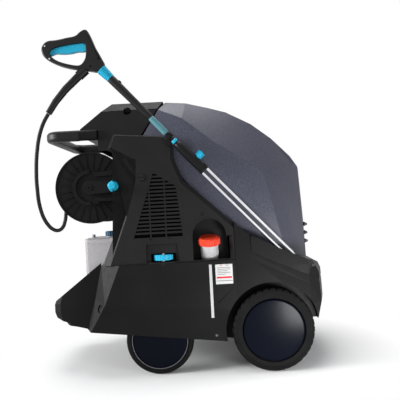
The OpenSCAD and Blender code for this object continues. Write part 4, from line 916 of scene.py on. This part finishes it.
def makeLamps():
    field = Matrix.Translation(lampSetup["centre"]) @ turnBy(-lampSetup["slope"], "Y")
    for number, mat in enumerate((lampGreen, lampAmber, lampRed)):
        along = lampSetup["row"] + (number - 1) * lampSetup["pitch"]
        place = field @ Matrix.Translation((0, along, -lampSetup["sunk"])) @ turnBy(-90, "Y")
        dress(turned("lamp_%d" % (number + 1), closed(lampSetup["lens"]), place, lampSetup["sides"]),
              mat, "machine")


makeNeckRibs()
makeCapLobes()
makeLamps()
print("stage: gauze, rings, neck and lamps")

floorSetup = {
    "size": 8.0,
    "drop": 0.0005,
    "roughness": 0.9,
    "gloss": 0.1,
    "tone": (0.9, 0.9, 0.9),
    "bounceTone": (0.28, 0.28, 0.28),    # what it gives back to the object
    "shadowTo": 0.52, "whiteFrom": 0.84,
}


# pale floor that keeps the shadow near the object and meets the background without an edge
def makeFloor():
    bm = bmesh.new()
    bmesh.ops.create_grid(bm, x_segments=1, y_segments=1, size=floorSetup["size"])
    bmesh.ops.translate(bm, verts=bm.verts, vec=(0, 0, -floorSetup["drop"]))
    mesh = bpy.data.meshes.new("floor")
    bm.to_mesh(mesh)
    bm.free()
    floor = link(mesh, "floor")
    mat, tree, shader = newMaterial("floor white")
    setShader(shader, Roughness=floorSetup["roughness"], Specular_IOR_Level=floorSetup["gloss"])
    rays = add(tree, "ShaderNodeLightPath").outputs
    tone = ramp(tree, rays["Is Diffuse Ray"], floorSetup["tone"], floorSetup["bounceTone"])
    wire(tree, tone, shader, "Base Color")
    away = add(tree, "ShaderNodeVectorMath", operation="LENGTH")
    wire(tree, objectCoords(tree), away, 0)
    fade = mapRange(tree, away.outputs["Value"], 0.0, 1.0, floorSetup["shadowTo"], floorSetup["whiteFrom"])
    seen = combine(tree, "MAXIMUM", rays["Is Camera Ray"], rays["Is Glossy Ray"])
    glow = add(tree, "ShaderNodeEmission", Color=(1, 1, 1, 1))
    mix = add(tree, "ShaderNodeMixShader")
    wire(tree, combine(tree, "MULTIPLY", fade, seen), mix, "Fac")
    wire(tree, shader.outputs["BSDF"], mix, 1)
    wire(tree, glow.outputs["Emission"], mix, 2)
    target = next(n for n in tree.nodes if n.type == "OUTPUT_MATERIAL")
    wire(tree, mix.outputs["Shader"], target, "Surface")
    paint(floor, mat)


worldSetup = {"light": (0.95, 0.97, 1.0, 1), "lightStrength": 0.3, "background": (1, 1, 1, 1)}


# white where it is seen, also in metal and through gaps, and a soft fill elsewhere
def makeWorld():
    world = bpy.data.worlds.new("studio")
    bpy.context.scene.world = world
    world.use_nodes = True
    tree = world.node_tree
    tree.nodes.clear()
    lit = add(tree, "ShaderNodeBackground", Color=worldSetup["light"], Strength=worldSetup["lightStrength"])
    seen = add(tree, "ShaderNodeBackground", Color=worldSetup["background"], Strength=1.0)
    rays = add(tree, "ShaderNodeLightPath").outputs
    direct = combine(tree, "MAXIMUM", rays["Is Camera Ray"], rays["Is Transmission Ray"])
    mix = add(tree, "ShaderNodeMixShader")
    wire(tree, combine(tree, "MAXIMUM", direct, rays["Is Glossy Ray"]), mix, "Fac")
    wire(tree, lit.outputs["Background"], mix, 1)
    wire(tree, seen.outputs["Background"], mix, 2)
    wire(tree, mix.outputs["Shader"], add(tree, "ShaderNodeOutputWorld"), "Surface")


studioLamps = [
    # name, place, aimed at, size, power
    ("key", (-3.4, -1.1, 1.4), (0.0, 0.0, 0.6), 1.4, 160.0),
    ("side", (1.5, -2.8, 1.2), (0.2, -0.2, 0.4), 0.8, 3.0),
    ("low", (0.545, -1.02, 0.135), (0.36, -0.35, 0.18), 0.22, 7.2),    # its reflection lies on the front disc
    ("top", (-0.1, 0.1, 3.2), (0.0, 0.0, 0.7), 1.8, 52.0),
    ("back", (1.6, 2.6, 2.2), (0.0, 0.0, 0.6), 1.8, 5.0),
]


def lightStudio():
    for name, place, aim, size, power in studioLamps:
        data = bpy.data.lights.new(name, "AREA")
        data.shape = "SQUARE"
        data.size = size
        data.energy = power
        lamp = link(data, name)
        lamp.location = place
        lamp.rotation_mode = "QUATERNION"
        lamp.rotation_quaternion = (Vector(aim) - Vector(place)).to_track_quat("-Z", "Y")


makeFloor()
makeWorld()
lightStudio()
bpy.context.scene.view_settings.view_transform = "Standard"
print("stage: floor and light")
